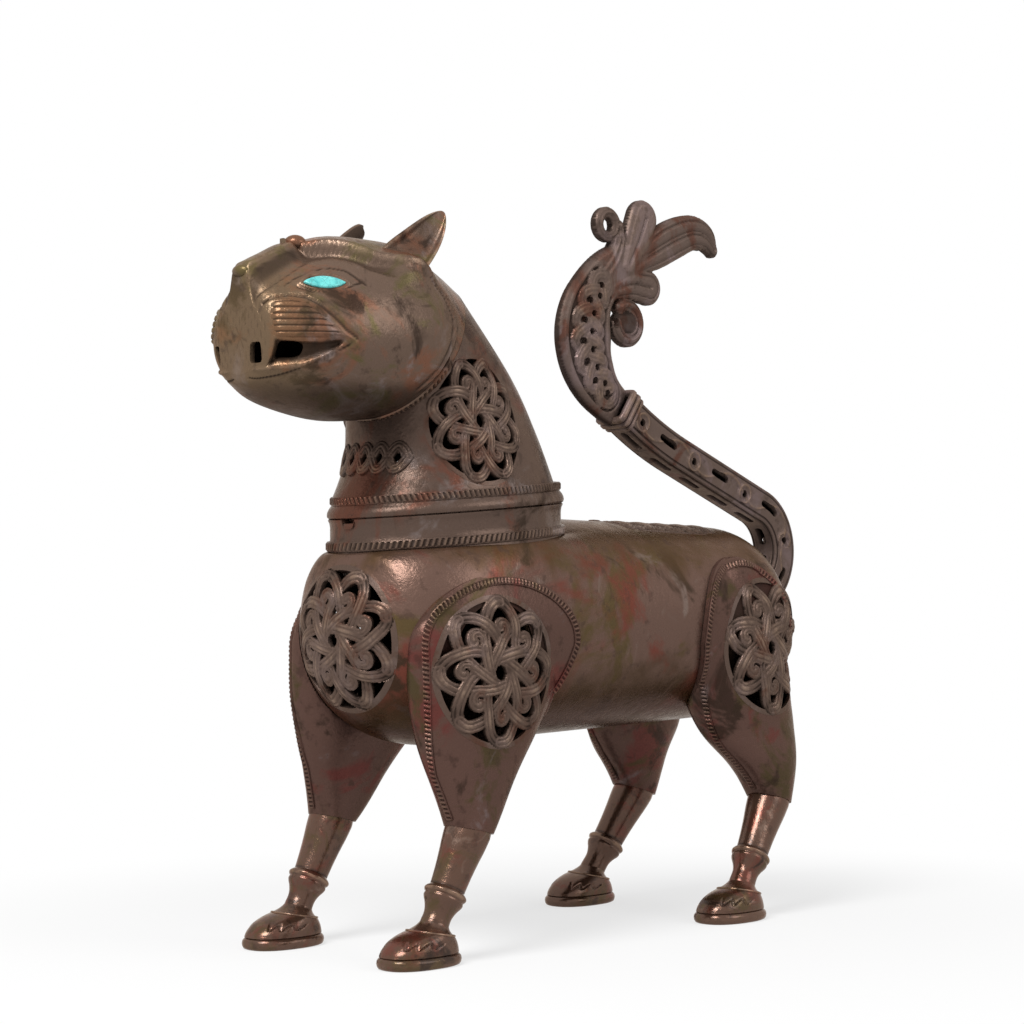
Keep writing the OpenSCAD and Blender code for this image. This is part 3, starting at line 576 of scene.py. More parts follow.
def arabesque(at, p, q, a, b, half, leaf, turn=0.0):
    """Closed interlace z = a e^(ipf) + b e^(-iqf) with p + q loops, a curled leaf in each and a plain rim.

    The strand rises and dips with sin(3(p + q)f), so that it passes over and under itself."""
    loops = p + q
    work = bare_plate(at)
    f = round_angles(960)
    z = (a * np.exp(1j * p * f) + b * np.exp(-1j * q * f)) * np.exp(1j * turn)
    line = np.stack([z.real, z.imag], -1)
    lift = 0.5 * np.sin(3 * loops * f)
    arcs = 2 * loops
    n = len(f) / arcs
    for i in range(arcs):
        k = np.arange(int(i * n) - 3, int((i + 1) * n) + 4) % len(f)
        work = lay_strand(work, at, line[k], np.full(len(k), half), lift[k])
    centre, wide, tight, start, turns, thin, thick = leaf
    s = np.linspace(0, 1, 44)
    for i in range(loops):
        scroll = mix(wide, tight, s) * np.exp(1j * (np.pi + mix(start, turns, s)))
        z = np.exp(1j * (2 * np.pi * i / loops + turn)) * (centre + scroll)
        line = np.stack([z.real, z.imag], -1)
        work = lay_strand(work, at, line, mix(thin, thick, s ** 1.5), 0.15 + 0 * s)
    cover, height = work
    r = np.hypot(*at.T)
    return np.minimum(np.maximum(cover, r - RIM_IN), 1.0 - r), height


def disc_places(n):
    """Square grid over the disc, a little uneven as hand work is."""
    p, q = grid(np.linspace(-1.03, 1.03, n), np.linspace(-1.03, 1.03, n))
    wobble = 0.018
    pw = p + wobble * np.sin(5.1 * q + 1.3) + 0.6 * wobble * np.sin(7.3 * p - 2.0 * q)
    qw = q + wobble * np.sin(4.7 * p + 0.4) + 0.6 * wobble * np.cos(6.1 * q + 3.0 * p)
    inside = np.hypot(p, q)
    keep = ease((1.02 - inside) / 0.4)[..., None]
    return p, q, mix(np.stack([p, q], -1), np.stack([pw, qw], -1), keep)


GRILLE_N = 168
DISC_P, DISC_Q, DISC_AT = disc_places(GRILLE_N)
# Centre, wide and tight radius, first and last angle, thin and thick half width of a leaf
LEAF = (0.57, 0.13, 0.035, 0.2, 4.2, 0.05, 0.098)
WIDE_LEAF = (0.55, 0.15, 0.045, 0.1, 4.2, 0.055, 0.105)
STRAND_HALF, WIDE_STRAND_HALF = 0.081, 0.092
# Plates as (how far the strands stand proud, thickness and, where it differs, depth of the carving)
CHEST_PLATE, BACK_PLATE, LEG_PLATE, NECK_PLATE = (0.3, 2.4), (0.4, 2.4), (0.9, 2.6), (0.9, 2.8)
BAND_PLATE = (1.1, 2.0, 0.7)


def design(p, q, a, b, half, leaf, turn=0.0):
    """Interlace worked out over the disc, as grids of cover and height."""
    at = DISC_AT.reshape(-1, 2).astype(np.float32)
    cover, height = arabesque(at, p, q, a, b, half, leaf, turn)
    return cover.reshape(GRILLE_N, GRILLE_N), height.reshape(GRILLE_N, GRILLE_N)


def grille(work, points, out, proud, thick, carve=0.85):
    """Pierced plate: strands on a surface that is given point by point, with a rim level with it."""
    cover, height = work
    bare = height == BARE
    level = np.where(bare, 1 - (proud - 0.1) / carve, np.clip(height, -0.6, 1.6))
    outer = points + out * (proud + carve * (level - 1.0))[..., None]
    inner = points + out * (proud - thick)
    # Low strands painted darker, high strands lighter: painted shade, and rubbed wear with painted
    # highlight
    relief = np.where(bare, 0.5, np.clip(0.1 + 0.5 * level, 0.05, 1))
    return shell(outer, inner, (False, False), cover, relief)


# Torso

def seam_z(y):
    """Height of the seam between collar and lid, which climbs towards the back."""
    return mix(SEAM_FRONT_Z, SEAM_BACK_Z, (y - COLLAR_Y + COLLAR_A) / (2 * COLLAR_A))


def rounded_end(r, share):
    """Superellipse of height r at a share of its half length."""
    return r * np.maximum(0, 1 - np.clip(share, 0, 1) ** FULLNESS) ** (1 / FULLNESS)


def torso_r(y, play=0.0):
    """Radius of the barrel at y: straight between two superellipse ends."""
    front = rounded_end(CHEST_R + play, (CHEST_Y - y) / (CHEST_LEN + play))
    rear = rounded_end(RUMP_R + play, (y - RUMP_Y) / (RUMP_LEN + play))
    middle = mix(CHEST_R, RUMP_R, (y - CHEST_Y) / (RUMP_Y - CHEST_Y)) + play
    return np.where(y < CHEST_Y, front, np.where(y > RUMP_Y, rear, middle))


def torso_x(y, z):
    """Side of the barrel over the place (y, z), with a little play."""
    return np.sqrt(np.maximum(0, torso_r(y, HUG) ** 2 - (z - AXIS_Z) ** 2))


def chest_y(x, z):
    """Front of the chest over the place (x, z)."""
    return CHEST_Y - rounded_end(CHEST_LEN, np.hypot(x, z - AXIS_Z) / CHEST_R)


def collar_distance(x, y):
    """Distance outside the collar's oval, seen from above."""
    e = np.hypot(x / COLLAR_B, (y - COLLAR_Y) / COLLAR_A)
    slope = np.hypot(x / COLLAR_B ** 2, (y - COLLAR_Y) / COLLAR_A ** 2) / np.maximum(e, 1e-3)
    return (e - 1) / np.maximum(slope, 1e-4)


def long_distance(x, y, half, w):
    """Distance outside a slot with round ends."""
    return np.hypot(x, np.maximum(np.abs(y - BACK_Y) - (half - w), 0)) - w


def torso_surface(n_front=44, n_middle=110, n_rear=44, n_round=230):
    """Rings about the long axis from the chest window to the rump, raised to meet the collar."""
    start = np.arccos((CHEST_GRILLE_R / CHEST_R) ** (FULLNESS / 2))
    a = np.linspace(start, 0, n_front, endpoint=False)
    e = np.linspace(0, np.pi / 2, n_rear)
    r_front = CHEST_R * np.cos(a) ** (2 / FULLNESS)
    y_front = CHEST_Y - CHEST_LEN * np.sin(a) ** (2 / FULLNESS)
    y_middle = np.linspace(CHEST_Y, RUMP_Y, n_middle, endpoint=False)
    y_rear = RUMP_Y + RUMP_LEN * np.sin(e) ** (2 / FULLNESS)
    r_rear = RUMP_R * np.maximum(np.cos(e), 0) ** (2 / FULLNESS)
    y = np.concatenate([y_front, y_middle, y_rear])
    r = np.concatenate([r_front, torso_r(y_middle), r_rear])
    shift = np.zeros_like(y)
    shift[:n_front] = (CHEST_GRILLE_Z - AXIS_Z) * (a / start) ** 2
    t = round_angles(n_round)
    x = r[:, None] * np.cos(t)
    z = AXIS_Z + shift[:, None] + r[:, None] * np.sin(t)
    yy = np.broadcast_to(y[:, None], x.shape).copy()
    yy[:n_front] = chest_y(x[:n_front], z[:n_front])
    d = collar_distance(x, yy)
    gap = np.maximum(0, seam_z(yy) - 15 - z)
    upper = ease((z - AXIS_Z) / 20)
    rise = gap * np.exp(-(np.maximum(d, 0) / 8) ** 1.2) * upper
    rise = rise * ease((np.hypot(x, z - CHEST_GRILLE_Z) - CHEST_GRILLE_R - 0.5) / 7)
    return np.stack([x, yy, z + rise], -1)


def torso_parts():
    """Wall of the barrel with openings for the collar, the back panel and the smoke behind each leg."""
    outer = torso_surface()
    out = normals(outer)
    out[-1] = [0, 1, 0]
    x, y, z = (outer[..., k] for k in range(3))
    top = np.where(z > AXIS_Z, 0, 60)
    field = np.minimum(collar_distance(x, y) + 6 + top, long_distance(x, y, BACK_HALF, BACK_W) + top)
    for mid in (FRONT_MID, REAR_MID):
        side = np.where(np.abs(x) > 24, 0, 60)
        field = np.minimum(field, np.hypot(y - mid[1], z - SMOKE_Z) - SMOKE_R + side)
    return [shell(outer, outer - out * WALL, (False, True), field)]


# Leg casings: oval sections [z, y, half length, x, half thickness] from the widest level to the knee

FRONT_KNEE, FRONT_FOOT = np.array([46.5, -93.5, 57.0]), np.array([46.3, -115.5, 15.0])
REAR_KNEE, REAR_FOOT = np.array([46.0, 117.0, 57.0]), np.array([51.0, 88.0, 15.0])
FRONT_LEG = np.array([[138, -74.5, 46, 39.5, 17.5], [117, -78, 41.9, 40, 17], [97, -82.5, 33.5, 40.5, 15.5],
                      [76, -88.5, 21.2, 43.5, 12.6], [57, -93.2, 10.8, 46.5, 10.7]])
REAR_LEG = np.array([[136, 98.5, 37, 35.5, 19], [114, 103, 35.2, 36.5, 18], [94, 108.5, 31.5, 38.5, 16],
                     [76, 113, 22.6, 44, 13.2], [57, 117, 11, 46, 10.8]])
FRONT_TOP, REAR_TOP = 171, 179
TOP_ANGLE = np.radians(78)
LEAN_TOP = 96
LEG_GRILLE_R = 34.5


def leg_section(leg, top, u):
    """Section at u: 4 at the knee, 0 at the widest level, below 0 over the round top."""
    low = through(leg, np.clip(u, 0, 4))
    a = np.clip(-u, 0, 1.15) * TOP_ANGLE
    w = leg[0]
    high = np.stack([w[0] + (top - w[0]) * np.sin(a), w[1] + 0 * a, w[2] * np.maximum(np.cos(a), 0.004),
                     w[3] + 0 * a, w[4] * mix(1, 0.45, np.clip(-u, 0, 1.15))], -1)
    return np.where((u >= 0)[..., None], low, high)


def seat_axis(knee, foot):
    """Direction half way between the shank and straight down, square to the casing's lower edge."""
    return unit(unit(foot - knee) + np.array([0, 0, -1.0]))


def leg_surface(leg, top, knee, foot, u, t, d=0.0, rim=PAD_RIM, back=0.0):
    """Rings of superellipses; each ring keeps outside the torso and the lowest lean square to the shank."""
    st = leg_section(leg, top, u)
    p = 2 / PAD_POWER
    z, yc, half, xc, thick = (st[..., k] for k in range(5))
    y = yc - np.maximum(half + d, 0.2) * signed_power(np.cos(t), p)
    x = xc + (thick + d) * signed_power(np.sin(t), p)
    face = torso_x(y, z)
    x = np.maximum(x, np.where(np.sin(t) > -1e-6, face + rim, face + back))
    lean = ease((LEAN_TOP - z) / (LEAN_TOP - knee[2])) ** 2
    v = seat_axis(knee, foot)
    z = z - lean * (v[0] / v[2] * (x - knee[0]) + v[1] / v[2] * (y - knee[1]))
    return np.stack([x, y, z], -1)


def pad_place(leg, u, t):
    """Point of a leg's plain section at u and t."""
    st = through(leg, np.array(u))
    p = 2 / PAD_POWER
    x = st[3] + st[4] * signed_power(np.sin(t), p)
    y = st[1] - st[2] * signed_power(np.cos(t), p)
    return np.array([x, y, st[0]])


FRONT_MID = pad_place(FRONT_LEG, 0.57, np.radians(84))
REAR_MID = pad_place(REAR_LEG, 0.15, np.radians(108))


def plane_axes(out):
    """Level and upright directions of a plane that faces out."""
    level = unit(np.cross([0, 0, 1.0], out))
    return level, np.cross(out, level)


def pad_x(leg, top, y, z):
    """Outer face of a leg over the place (y, z)."""
    u = np.concatenate([np.linspace(4, 0, 81)[:-1], np.linspace(0, -1.1, 40)])
    st = leg_section(leg, top, u)
    yc, half, xc, thick = (np.interp(z, st[:, 0], st[:, k]) for k in range(1, 5))
    eta = np.clip(np.abs(y - yc) / half, 0, 1)
    x = xc + thick * (1 - eta ** PAD_POWER) ** (1 / PAD_POWER)
    return np.maximum(x, torso_x(y, z) + PAD_RIM)


def pad_out(leg, top, y, z):
    """Outward direction of a leg's outer face."""
    e = 0.6
    dy = (pad_x(leg, top, y + e, z) - pad_x(leg, top, y - e, z)) / (2 * e)
    dz = (pad_x(leg, top, y, z + e) - pad_x(leg, top, y, z - e)) / (2 * e)
    return unit(np.stack([np.ones_like(dy), -dy, -dz], -1))


def edge_inset(z):
    """How far the corded band lies inside a leg's outline: less on the narrow lower part."""
    return mix(0.02, 2.4, ease((z - 80) / 45))


def side_line(leg, top, knee, foot, u, sign):
    """Path along the front (sign 1) or rear (sign -1) edge of a leg, with outward directions."""
    st = leg_section(leg, top, u)
    eta = 1 - edge_inset(st[:, 0]) / st[:, 2]
    t = np.arccos(sign * eta ** (PAD_POWER / 2))
    e = 0.01
    here = leg_surface(leg, top, knee, foot, u, t)
    out = np.cross(leg_surface(leg, top, knee, foot, u, t + e) - here,
                   leg_surface(leg, top, knee, foot, u - e, t) - here)
    middle = np.stack([st[:, 3], st[:, 1], st[:, 0]], -1)
    return here, unit(out) * np.sign(np.sum(out * (here - middle), 1, keepdims=True))


def pad_edge(leg, top, knee, foot, rear_u):
    """Path up the front edge of a leg from the knee, over the round top and down the rear edge."""
    front, front_out = side_line(leg, top, knee, foot, np.linspace(3.93, 0, 90), 1)
    rear, rear_out = side_line(leg, top, knee, foot, np.linspace(0, rear_u, 40), -1)
    inset = edge_inset(leg[0][0])
    a = np.linspace(0, np.pi, 120)[1:-1]
    y = leg[0][1] - (leg[0][2] - inset) * np.cos(a)
    z = leg[0][0] + (top - leg[0][0] - inset - 1) * np.sin(a)
    over = np.stack([pad_x(leg, top, y, z), y, z], -1)
    path = np.concatenate([front, over, rear])
    return path, np.concatenate([front_out, pad_out(leg, top, y, z), rear_out])


def leg_parts(leg, top, knee, foot, mid, rear_u):
    """Hollow casing with a round window outside, a smoke hole inside and a corded band along its edge."""
    u = np.concatenate([np.linspace(4, 0, 70, endpoint=False), np.linspace(0, -1.12, 38)])
    u, t = grid(u, round_angles(164))
    outer = leg_surface(leg, top, knee, foot, u, t)
    inner = leg_surface(leg, top, knee, foot, u, t, -2.2, 0.7, 1.2)
    window = np.hypot(outer[..., 1] - mid[1], outer[..., 2] - SMOKE_Z) - SMOKE_R
    roundel = np.hypot(outer[..., 1] - mid[1], outer[..., 2] - mid[2]) - LEG_GRILLE_R + 0.9
    field = np.where(np.sin(t) > 0, roundel, window)
    parts = [shell(outer, inner, (False, True), field)]
    path, path_out = pad_edge(leg, top, knee, foot, rear_u)
    parts.append(corded_band(path, path_out, *LEG_CORD, False))
    return parts


def leg_grille(leg, top, mid, work):
    """Roundel on a leg: the disc is laid on the leg's outer face along the level direction."""
    y = mid[1] + LEG_GRILLE_R * DISC_P
    z = mid[2] + LEG_GRILLE_R * DISC_Q
    points = np.stack([pad_x(leg, top, y, z), y, z], -1)
    return grille(work, points, pad_out(leg, top, y, z), *LEG_PLATE)


# Shanks and paws

def shank_parts(knee, foot):
    """Turned lower leg: a smooth profile of radii along the line from knee to foot."""
    l = np.linalg.norm(foot - knee)
    knop = 0.65 * l
    profile = np.array([[-4, 9.8], [0.2, 10.5], [0.06 * l, 10.4], [0.15 * l, 10.0], [0.28 * l, 9.2],
                        [0.42 * l, 8.5], [knop - 3.6, 8.0], [knop - 2.4, 8.1], [knop - 1.4, 9.2],
                        [knop - 0.4, 9.8], [knop + 0.6, 9.5], [knop + 1.4, 8.9], [knop + 2.6, 9.1],
                        [knop + 4, 8.6], [knop + 6, 7.5], [knop + 8.5, 6.6], [knop + 11, 6.3],
                        [l - 2, 6.5], [l + 1, 6.2]])
    rows = through(profile, np.linspace(0, len(profile) - 1, 150))
    axis = unit(foot - knee)
    ex = unit(np.cross(axis, [1.0, 0, 0]))
    ey = np.cross(axis, ex)
    t = round_angles(64)
    ring = np.cos(t)[:, None] * ex + np.sin(t)[:, None] * ey
    points = knee + rows[:, :1, None] * axis + rows[:, 1:, None] * ring[None]
    # Painted highlight on the knop's ridge, painted shade in the groove beside it
    ridges = 0.3 * bell(rows[:, :1] - knop, 1.2) - 0.3 * bell(rows[:, :1] - knop + 2.8, 0.8)
    relief = np.broadcast_to(0.5 + ridges, points.shape[:2])
    return [solid(points, relief=relief)]


PAW_HALF, PAW_W, SOLE_H, PAW_AHEAD, FOOT_R = 20.5, 13.5, 5, 8, 10.6
TOE_MARKS = (36, 58, 84)
TOE_LOW, TOE_HIGH = 0.3, 0.72


def paw_parts(knee, foot):
    """Rings over the flat sole, a sole band and the toes to an edge, then up a hollow instep."""
    t = round_angles(180)
    cy = foot[1] - PAW_AHEAD

    def sole_ring(z, d):
        return np.stack([foot[0] + (PAW_W + d) * signed_power(np.sin(t), 0.85),
                         cy - (PAW_HALF + d) * signed_power(np.cos(t), 0.85), z + 0 * t], -1)

    def leg_ring(middle, up, r):
        ey = unit(np.cross(up, [1.0, 0, 0]))
        return middle + r * (np.sin(t)[:, None] * np.cross(ey, up) - np.cos(t)[:, None] * ey)

    up = unit(knee - foot)
    edge_up = unit(up + [0, 0, 1.6])
    edge_middle = foot + [0, -1.2, -1.2]
    edge = leg_ring(edge_middle, edge_up, FOOT_R)
    throat = leg_ring(foot + 3.4 * up, up, 6.5)
    ledge = sole_ring(SOLE_H + 0.5, -0.9)
    steps = np.array([[0, 0], [0.05, 0.17], [0.13, 0.33], [0.27, 0.53], [0.45, 0.7], [0.64, 0.83],
                      [0.83, 0.93], [1, 1]])
    rows = through(steps, np.linspace(0, len(steps) - 1, 60))
    toes = ledge[None] + (edge - ledge)[None] * rows[:, [0, 0, 1]][:, None]
    turn = np.degrees(np.arccos(np.cos(t)))
    depth = np.zeros(toes.shape[:2])
    climbed = rows[:, 1:]
    for place in TOE_MARKS:
        wing = np.abs(np.abs(turn[None] - place) * 0.3 - (climbed - TOE_LOW) * 9)
        mark = bell(wing, 0.6) * ease((climbed - TOE_LOW) / 0.08) * ease((TOE_HIGH - climbed) / 0.15)
        depth = depth + mark
    toes = toes - normals(toes) * 0.6 * depth[..., None]
    f = np.linspace(0.04, 1, 16)[:, None]
    climb = np.concatenate([1 - (1 - f) ** 1.9, 1 - (1 - f) ** 1.9, f], 1)
    instep = edge[None] + (throat - edge)[None] * climb[:, None]
    sole = np.stack([sole_ring(z, d) for z, d in ((0, -1.6), (0.5, -0.5), (1.4, 0), (2.6, 0.2), (3.8, 0),
                                                   (SOLE_H - 0.3, -0.7), (SOLE_H + 0.1, -1.3))])
    points = np.concatenate([sole, toes, instep])
    # Sole band painted lighter at its bulge and darker at top and foot, toe marks darker: painted highlight
    # and painted shade
    band = np.array([0.4, 0.5, 0.62, 0.66, 0.6, 0.42, 0.25])[:, None]
    relief = np.concatenate([np.broadcast_to(band, sole.shape[:2]), 0.5 - 0.25 * np.clip(depth, 0, 1),
                             np.full(instep.shape[:2], 0.5)])
    return [solid(points, relief=relief), rolled_edge(edge, unit(edge - edge_middle), 0.6, 1.0)]


# Collar and lid foot: ovals [front y, front z, back y, back z, half width, narrowing]

SEAM = np.array([COLLAR_Y - COLLAR_A, SEAM_FRONT_Z, COLLAR_Y + COLLAR_A, SEAM_BACK_Z, COLLAR_B, 0])
LID_PLAY = 0.45
SEAM_T = round_angles(260)


def oval(st, t):
    """Oval in a tilted plane, narrower towards its back or top."""
    x = st[..., 4] * np.cos(t) * (1 - st[..., 5] * np.sin(t))
    y = mix(st[..., 0], st[..., 2], 0.5 + 0.5 * np.sin(t))
    z = mix(st[..., 1], st[..., 3], 0.5 + 0.5 * np.sin(t))
    return np.stack([x, y, z], -1)


def grown(st, d):
    """The same oval, d larger all round."""
    run = np.stack([st[..., 2] - st[..., 0], st[..., 3] - st[..., 1]], -1)
    run = unit(run) * np.asarray(d)[..., None]
    zero = 0 * st[..., 0]
    return st + np.stack([-run[..., 0], -run[..., 1], run[..., 0], run[..., 1], zero + d, zero], -1)


def oval_out(t):
    """Level outward directions along the collar's oval."""
    return unit(np.stack([np.cos(t) / COLLAR_B, np.sin(t) / COLLAR_A, 0 * t], -1))


def seam_ring(profile):
    """Looped profile of (out, up from the seam) carried round the collar's oval."""
    d, t = grid(profile[:, 0], SEAM_T)
    points = oval(grown(SEAM + np.zeros((*d.shape, 6)), d), t)
    points[..., 2] += profile[:, 1:]
    return points


def seam_cord(d, dz, cord):
    """Corded band round the collar's oval, d outside it and dz above the seam."""
    path = oval(grown(SEAM, d), SEAM_T)
    path[:, 2] = seam_z(path[:, 1]) + dz
    return corded_band(path, oval_out(SEAM_T), *cord, True)


NOTCH_HALF, NOTCH_DEEP = 3.9, 3.6


def collar_parts():
    """Upright oval rim with a notch at its front, and a corded band below."""
    profile = np.array([[-COLLAR_WALL, -26], [1.5, -24], [1.2, -16], [0.6, -14.8], [0.3, -10.2],
                        [0, -9.6], [0, -8], [0, -4], [0.3, -2], [0.9, -0.8], [0.9, -0.35], [0.55, -0.05],
                        [-COLLAR_WALL + 0.4, -0.05], [-COLLAR_WALL, -0.4], [-COLLAR_WALL, -12]])
    points = seam_ring(profile)
    at_top = profile[:, 1:] > -1
    notch = ease((NOTCH_HALF - np.abs(points[..., 0])) / 0.8) * (points[..., 1] < COLLAR_Y) * at_top
    points[..., 2] -= NOTCH_DEEP * notch
    return [solid(points, (True, True)), seam_cord(0.8, -12.6, COLLAR_CORD)]


NECK = np.array([[-121, 204.5, -3, 214, 43.5, 0.03], [-114, 217, -13, 239, 39.5, 0.1],
                 [-110.5, 230, -29, 267, 36.2, 0.16], [-107, 242, -62, 304, 34, 0.2]])


def neck_surface(f, t):
    """Ovals from the seam (f = 0) to the head (f = 1)."""
    return oval(through(NECK, 3 * np.clip(f, 0, 1)), t)


NECK_F, NECK_T = 0.59, np.radians(-9)
NECK_MID = neck_surface(np.array(NECK_F), np.array(NECK_T))
NECK_OUT = outward(neck_surface, np.array(NECK_F), np.array(NECK_T), 0.02)
NECK_RX, NECK_RY = 26.5, 30.5


def neck_plane(points):
    """Places of points in the plane of the left roundel."""
    level, upright = plane_axes(NECK_OUT)
    return (points - NECK_MID) @ level, (points - NECK_MID) @ upright


def neck_roundel():
    """Places on the neck whose plane coordinates are those of the disc, found by Newton steps."""
    want_p = NECK_RX * DISC_P
    want_q = NECK_RY * DISC_Q
    f = np.full(DISC_P.shape, NECK_F)
    t = np.full(DISC_P.shape, NECK_T)
    e = 0.01
    for _ in range(9):
        p, q = neck_plane(neck_surface(f, t))
        pf, qf = neck_plane(neck_surface(f + e, t))
        pt, qt = neck_plane(neck_surface(f, t + e))
        a, b, c, d = (pf - p) / e, (pt - p) / e, (qf - q) / e, (qt - q) / e
        det = a * d - b * c
        det = np.where(np.abs(det) < 1, np.sign(det) + (det == 0), det)
        rp = want_p - p
        rq = want_q - q
        f = np.clip(f + np.clip((d * rp - b * rq) / det, -0.15, 0.15), -0.2, 0.985)
        t = t + np.clip((a * rq - c * rp) / det, -0.4, 0.4)
    return neck_surface(f, t), outward(neck_surface, f, t)


BAND_Z, BAND_STEP, BAND_WAVE, BAND_HOLE = 223.7, 8.7, 5.4, 2.1


def neck_front(x, z):
    """Places on the front of the neck over (x, z), with outward directions."""
    f = np.full(x.shape, 0.45)
    e = 0.01
    for _ in range(8):
        st = through(NECK, 3 * f)
        t = -np.pi / 2 + np.arcsin(np.clip(x / (st[..., 4] * (1 + 0.8 * st[..., 5])), -0.95, 0.95))
        miss = z - neck_surface(f, t)[..., 2]
        slope = (neck_surface(f + e, t)[..., 2] - neck_surface(f, t)[..., 2]) / e
        f = np.clip(f + miss / slope, 0.02, 0.97)
    return neck_surface(f, t), outward(neck_surface, f, t)


def neck_band():
    """Low band across the front of the neck: two waves that cross between a row of holes."""
    x, z = grid(np.linspace(-24, 24, 150), np.linspace(-8.5, 8.5, 60))
    at = places(x, z)
    work = bare_plate(at)
    s = np.linspace(-2.5, 2.5, 240)
    for sign in (-1, 1):
        line = np.stack([s * BAND_STEP, sign * BAND_WAVE * np.cos(np.pi * s)], -1)
        work = lay_crossing(work, at, line, 2.3, 0.5 * sign * np.sin(np.pi * (s - 0.5)), 24, 2)
    cover, height = (v.reshape(x.shape) for v in work)
    points, out = neck_front(x, BAND_Z + z)
    return grille((cover, height), points, out, *BAND_PLATE)


def lid_foot_parts():
    """Flange and spigot under the neck, with a corded band above the flange."""
    spigot = -COLLAR_WALL - LID_PLAY
    profile = np.array([[spigot - 2.2, -4.9], [spigot, -4.9], [spigot, 0.15], [0.5, 0.15], [1.2, 0.6],
                        [1.5, 1.6], [1.3, 3.0], [0.5, 4.6], [-0.6, 6.0], [-1.1, 7.0], [-1.3, 9.4],
                        [-2.2, 10.2], [-4, 10], [spigot - 2.2, 4]])
    return [solid(seam_ring(profile), (True, True)), seam_cord(-1.1, 8.1, LID_CORD)]


def neck_parts():
    """Neck wall with a roundel on each side and a row of holes in front, its bands, flange and spigot."""
    f, t = grid(np.linspace(0, 1, 116), round_angles(230))
    outer = neck_surface(f, t)
    out = normals(outer)
    x = outer[..., 0]
    planes = (neck_plane(outer), neck_plane(outer * [-1, 1, 1]))
    left, right = (np.hypot(p / NECK_RX, q / NECK_RY) for p, q in planes)
    field = (np.where(x > 0, left, right) - 0.98) * NECK_RX
    for i in range(-2, 3):
        hole = np.hypot(x - BAND_STEP * i, outer[..., 2] - BAND_Z) - BAND_HOLE
        field = np.minimum(field, np.where(t > np.pi, hole, 9))
    strip = (t > np.pi * 0.25) & (t < np.pi * 0.75)
    nape = strip * (bell(np.abs(x) - 9, 0.9) + bell(np.abs(x) - 11.5, 0.7))
    outer = outer - out * 0.6 * nape[..., None]
    # Nape grooves painted darker: painted shade
    parts = [shell(outer, outer - out * WALL, (False, True), field, 0.5 - 0.35 * np.clip(nape, 0, 1))]
    f = np.linspace(0.04, 0.96, 80)
    a = np.pi / 2 + 0 * f
    path = neck_surface(f, a)
    ahead = neck_surface(f + 0.02, a) - path
    parts.append(corded_band(path, unit(np.cross(ahead, [1.0, 0, 0])), *NAPE_CORD, False))
    return parts + [neck_band()] + lid_foot_parts()


# Head: ovals from the nape (station 0) to the nose (station 7)

HEAD = np.array([[-107.12, 242.12, -62.12, 304.12, 34, 0.2], [-121, 240.5, -87, 315.5, 41.5, 0.12],
                 [-136, 240, -112, 319.5, 43, 0.08], [-151, 242, -136, 317.5, 41, 0.08],
                 [-165.6, 245.5, -156.6, 311, 36, 0.1], [-174.7, 249.5, -170.7, 304, 29, 0.08],
                 [-181.9, 253.5, -180.9, 298, 22.04, 0.05], [-184.2, 258, -184.2, 291, 15.08, 0]])


def head_base(s, t):
    """Plain head without relief; beyond station 7 the ring shrinks to a point on the blunt nose."""
    st = through(HEAD, np.clip(s, 0, 7))
    shrink = np.clip(s - 7, 0, 1)
    mid = st[..., :2] / 2 + st[..., 2:4] / 2
    reach = np.sqrt(np.maximum(0, 1 - shrink ** 2))
    ends = [mix(mid, end, reach[..., None]) for end in (st[..., :2], st[..., 2:4])]
    st = np.concatenate([*ends, (st[..., 4] * reach)[..., None], st[..., 5:]], -1)
    return oval(st, t)


def face_angle(t):
    """Angle in degrees from -90 under the chin to 90 on the crown, the same on both sides."""
    d = np.degrees(np.arctan2(np.sin(t), np.cos(t)))
    return np.where(np.abs(d) > 90, np.sign(d) * 180 - d, d)


EYE_S, EYE_T = 4.0, np.radians(37)
EYE_L, EYE_H = 18.6, 7.2
EYE_MID = head_base(np.array(EYE_S), np.array(EYE_T))
EYE_OUT = outward(head_base, np.array(EYE_S), np.array(EYE_T))


def almond_distance(p, q, length, height):
    """Distance outside an almond: the larger of the distances to its two arcs."""
    r = (length ** 2 + height ** 2) / (4 * height)
    return np.maximum(np.hypot(p, q + r - height / 2), np.hypot(p, q - r + height / 2)) - r


def edge_distance(s, deg, knots, per_s=12.0, per_deg=0.6):
    """Distance in mm above a line drawn over the face through (station, angle) places."""
    at, angle = np.array(knots, float).T
    line = np.interp(s, at, angle)
    tilt = (np.interp(s + 0.05, at, angle) - np.interp(s - 0.05, at, angle)) / 0.1
    return (deg - line) / np.hypot(1 / per_deg, tilt / per_s)


def span(s, first, last, soft=0.1):
    """1 between two stations, 0 outside them."""
    return ease((s - first) / soft) * ease((last - s) / soft)


# Lines over the face as (station, angle in degrees): 0 is the side, 90 the crown
BROW_EDGE = [(1.4, 38), (2.05, 43), (2.6, 48), (2.9, 57), (3.3, 70), (3.75, 80), (3.95, 90)]
COVE_FOOT = [(2.27, 32), (2.8, 41), (3.05, 51), (3.43, 62), (3.88, 66), (4.33, 63), (4.9, 59), (5.6, 54),
             (6.5, 54)]
LID_LINE = [(2.98, 26), (3.18, 33), (3.38, 43), (3.68, 50), (4.08, 53), (4.7, 52), (5.25, 48)]
UNDER_LINE = [(3.1, 31), (3.55, 28), (4.0, 28), (4.45, 32), (4.9, 43)]
PAD_ARCH = [(3.23, -13), (3.65, -5), (4.15, 10), (4.4, 18), (4.73, 27), (5.2, 34), (5.8, 38), (6.5, 38)]
LIP_LINE = [(3.62, -10), (4.33, -12), (5.45, -11), (6.9, -6)]
LOWER_LIP = [(3.6, -15), (3.98, -21), (4.67, -30), (5.8, -38), (7.0, -57)]
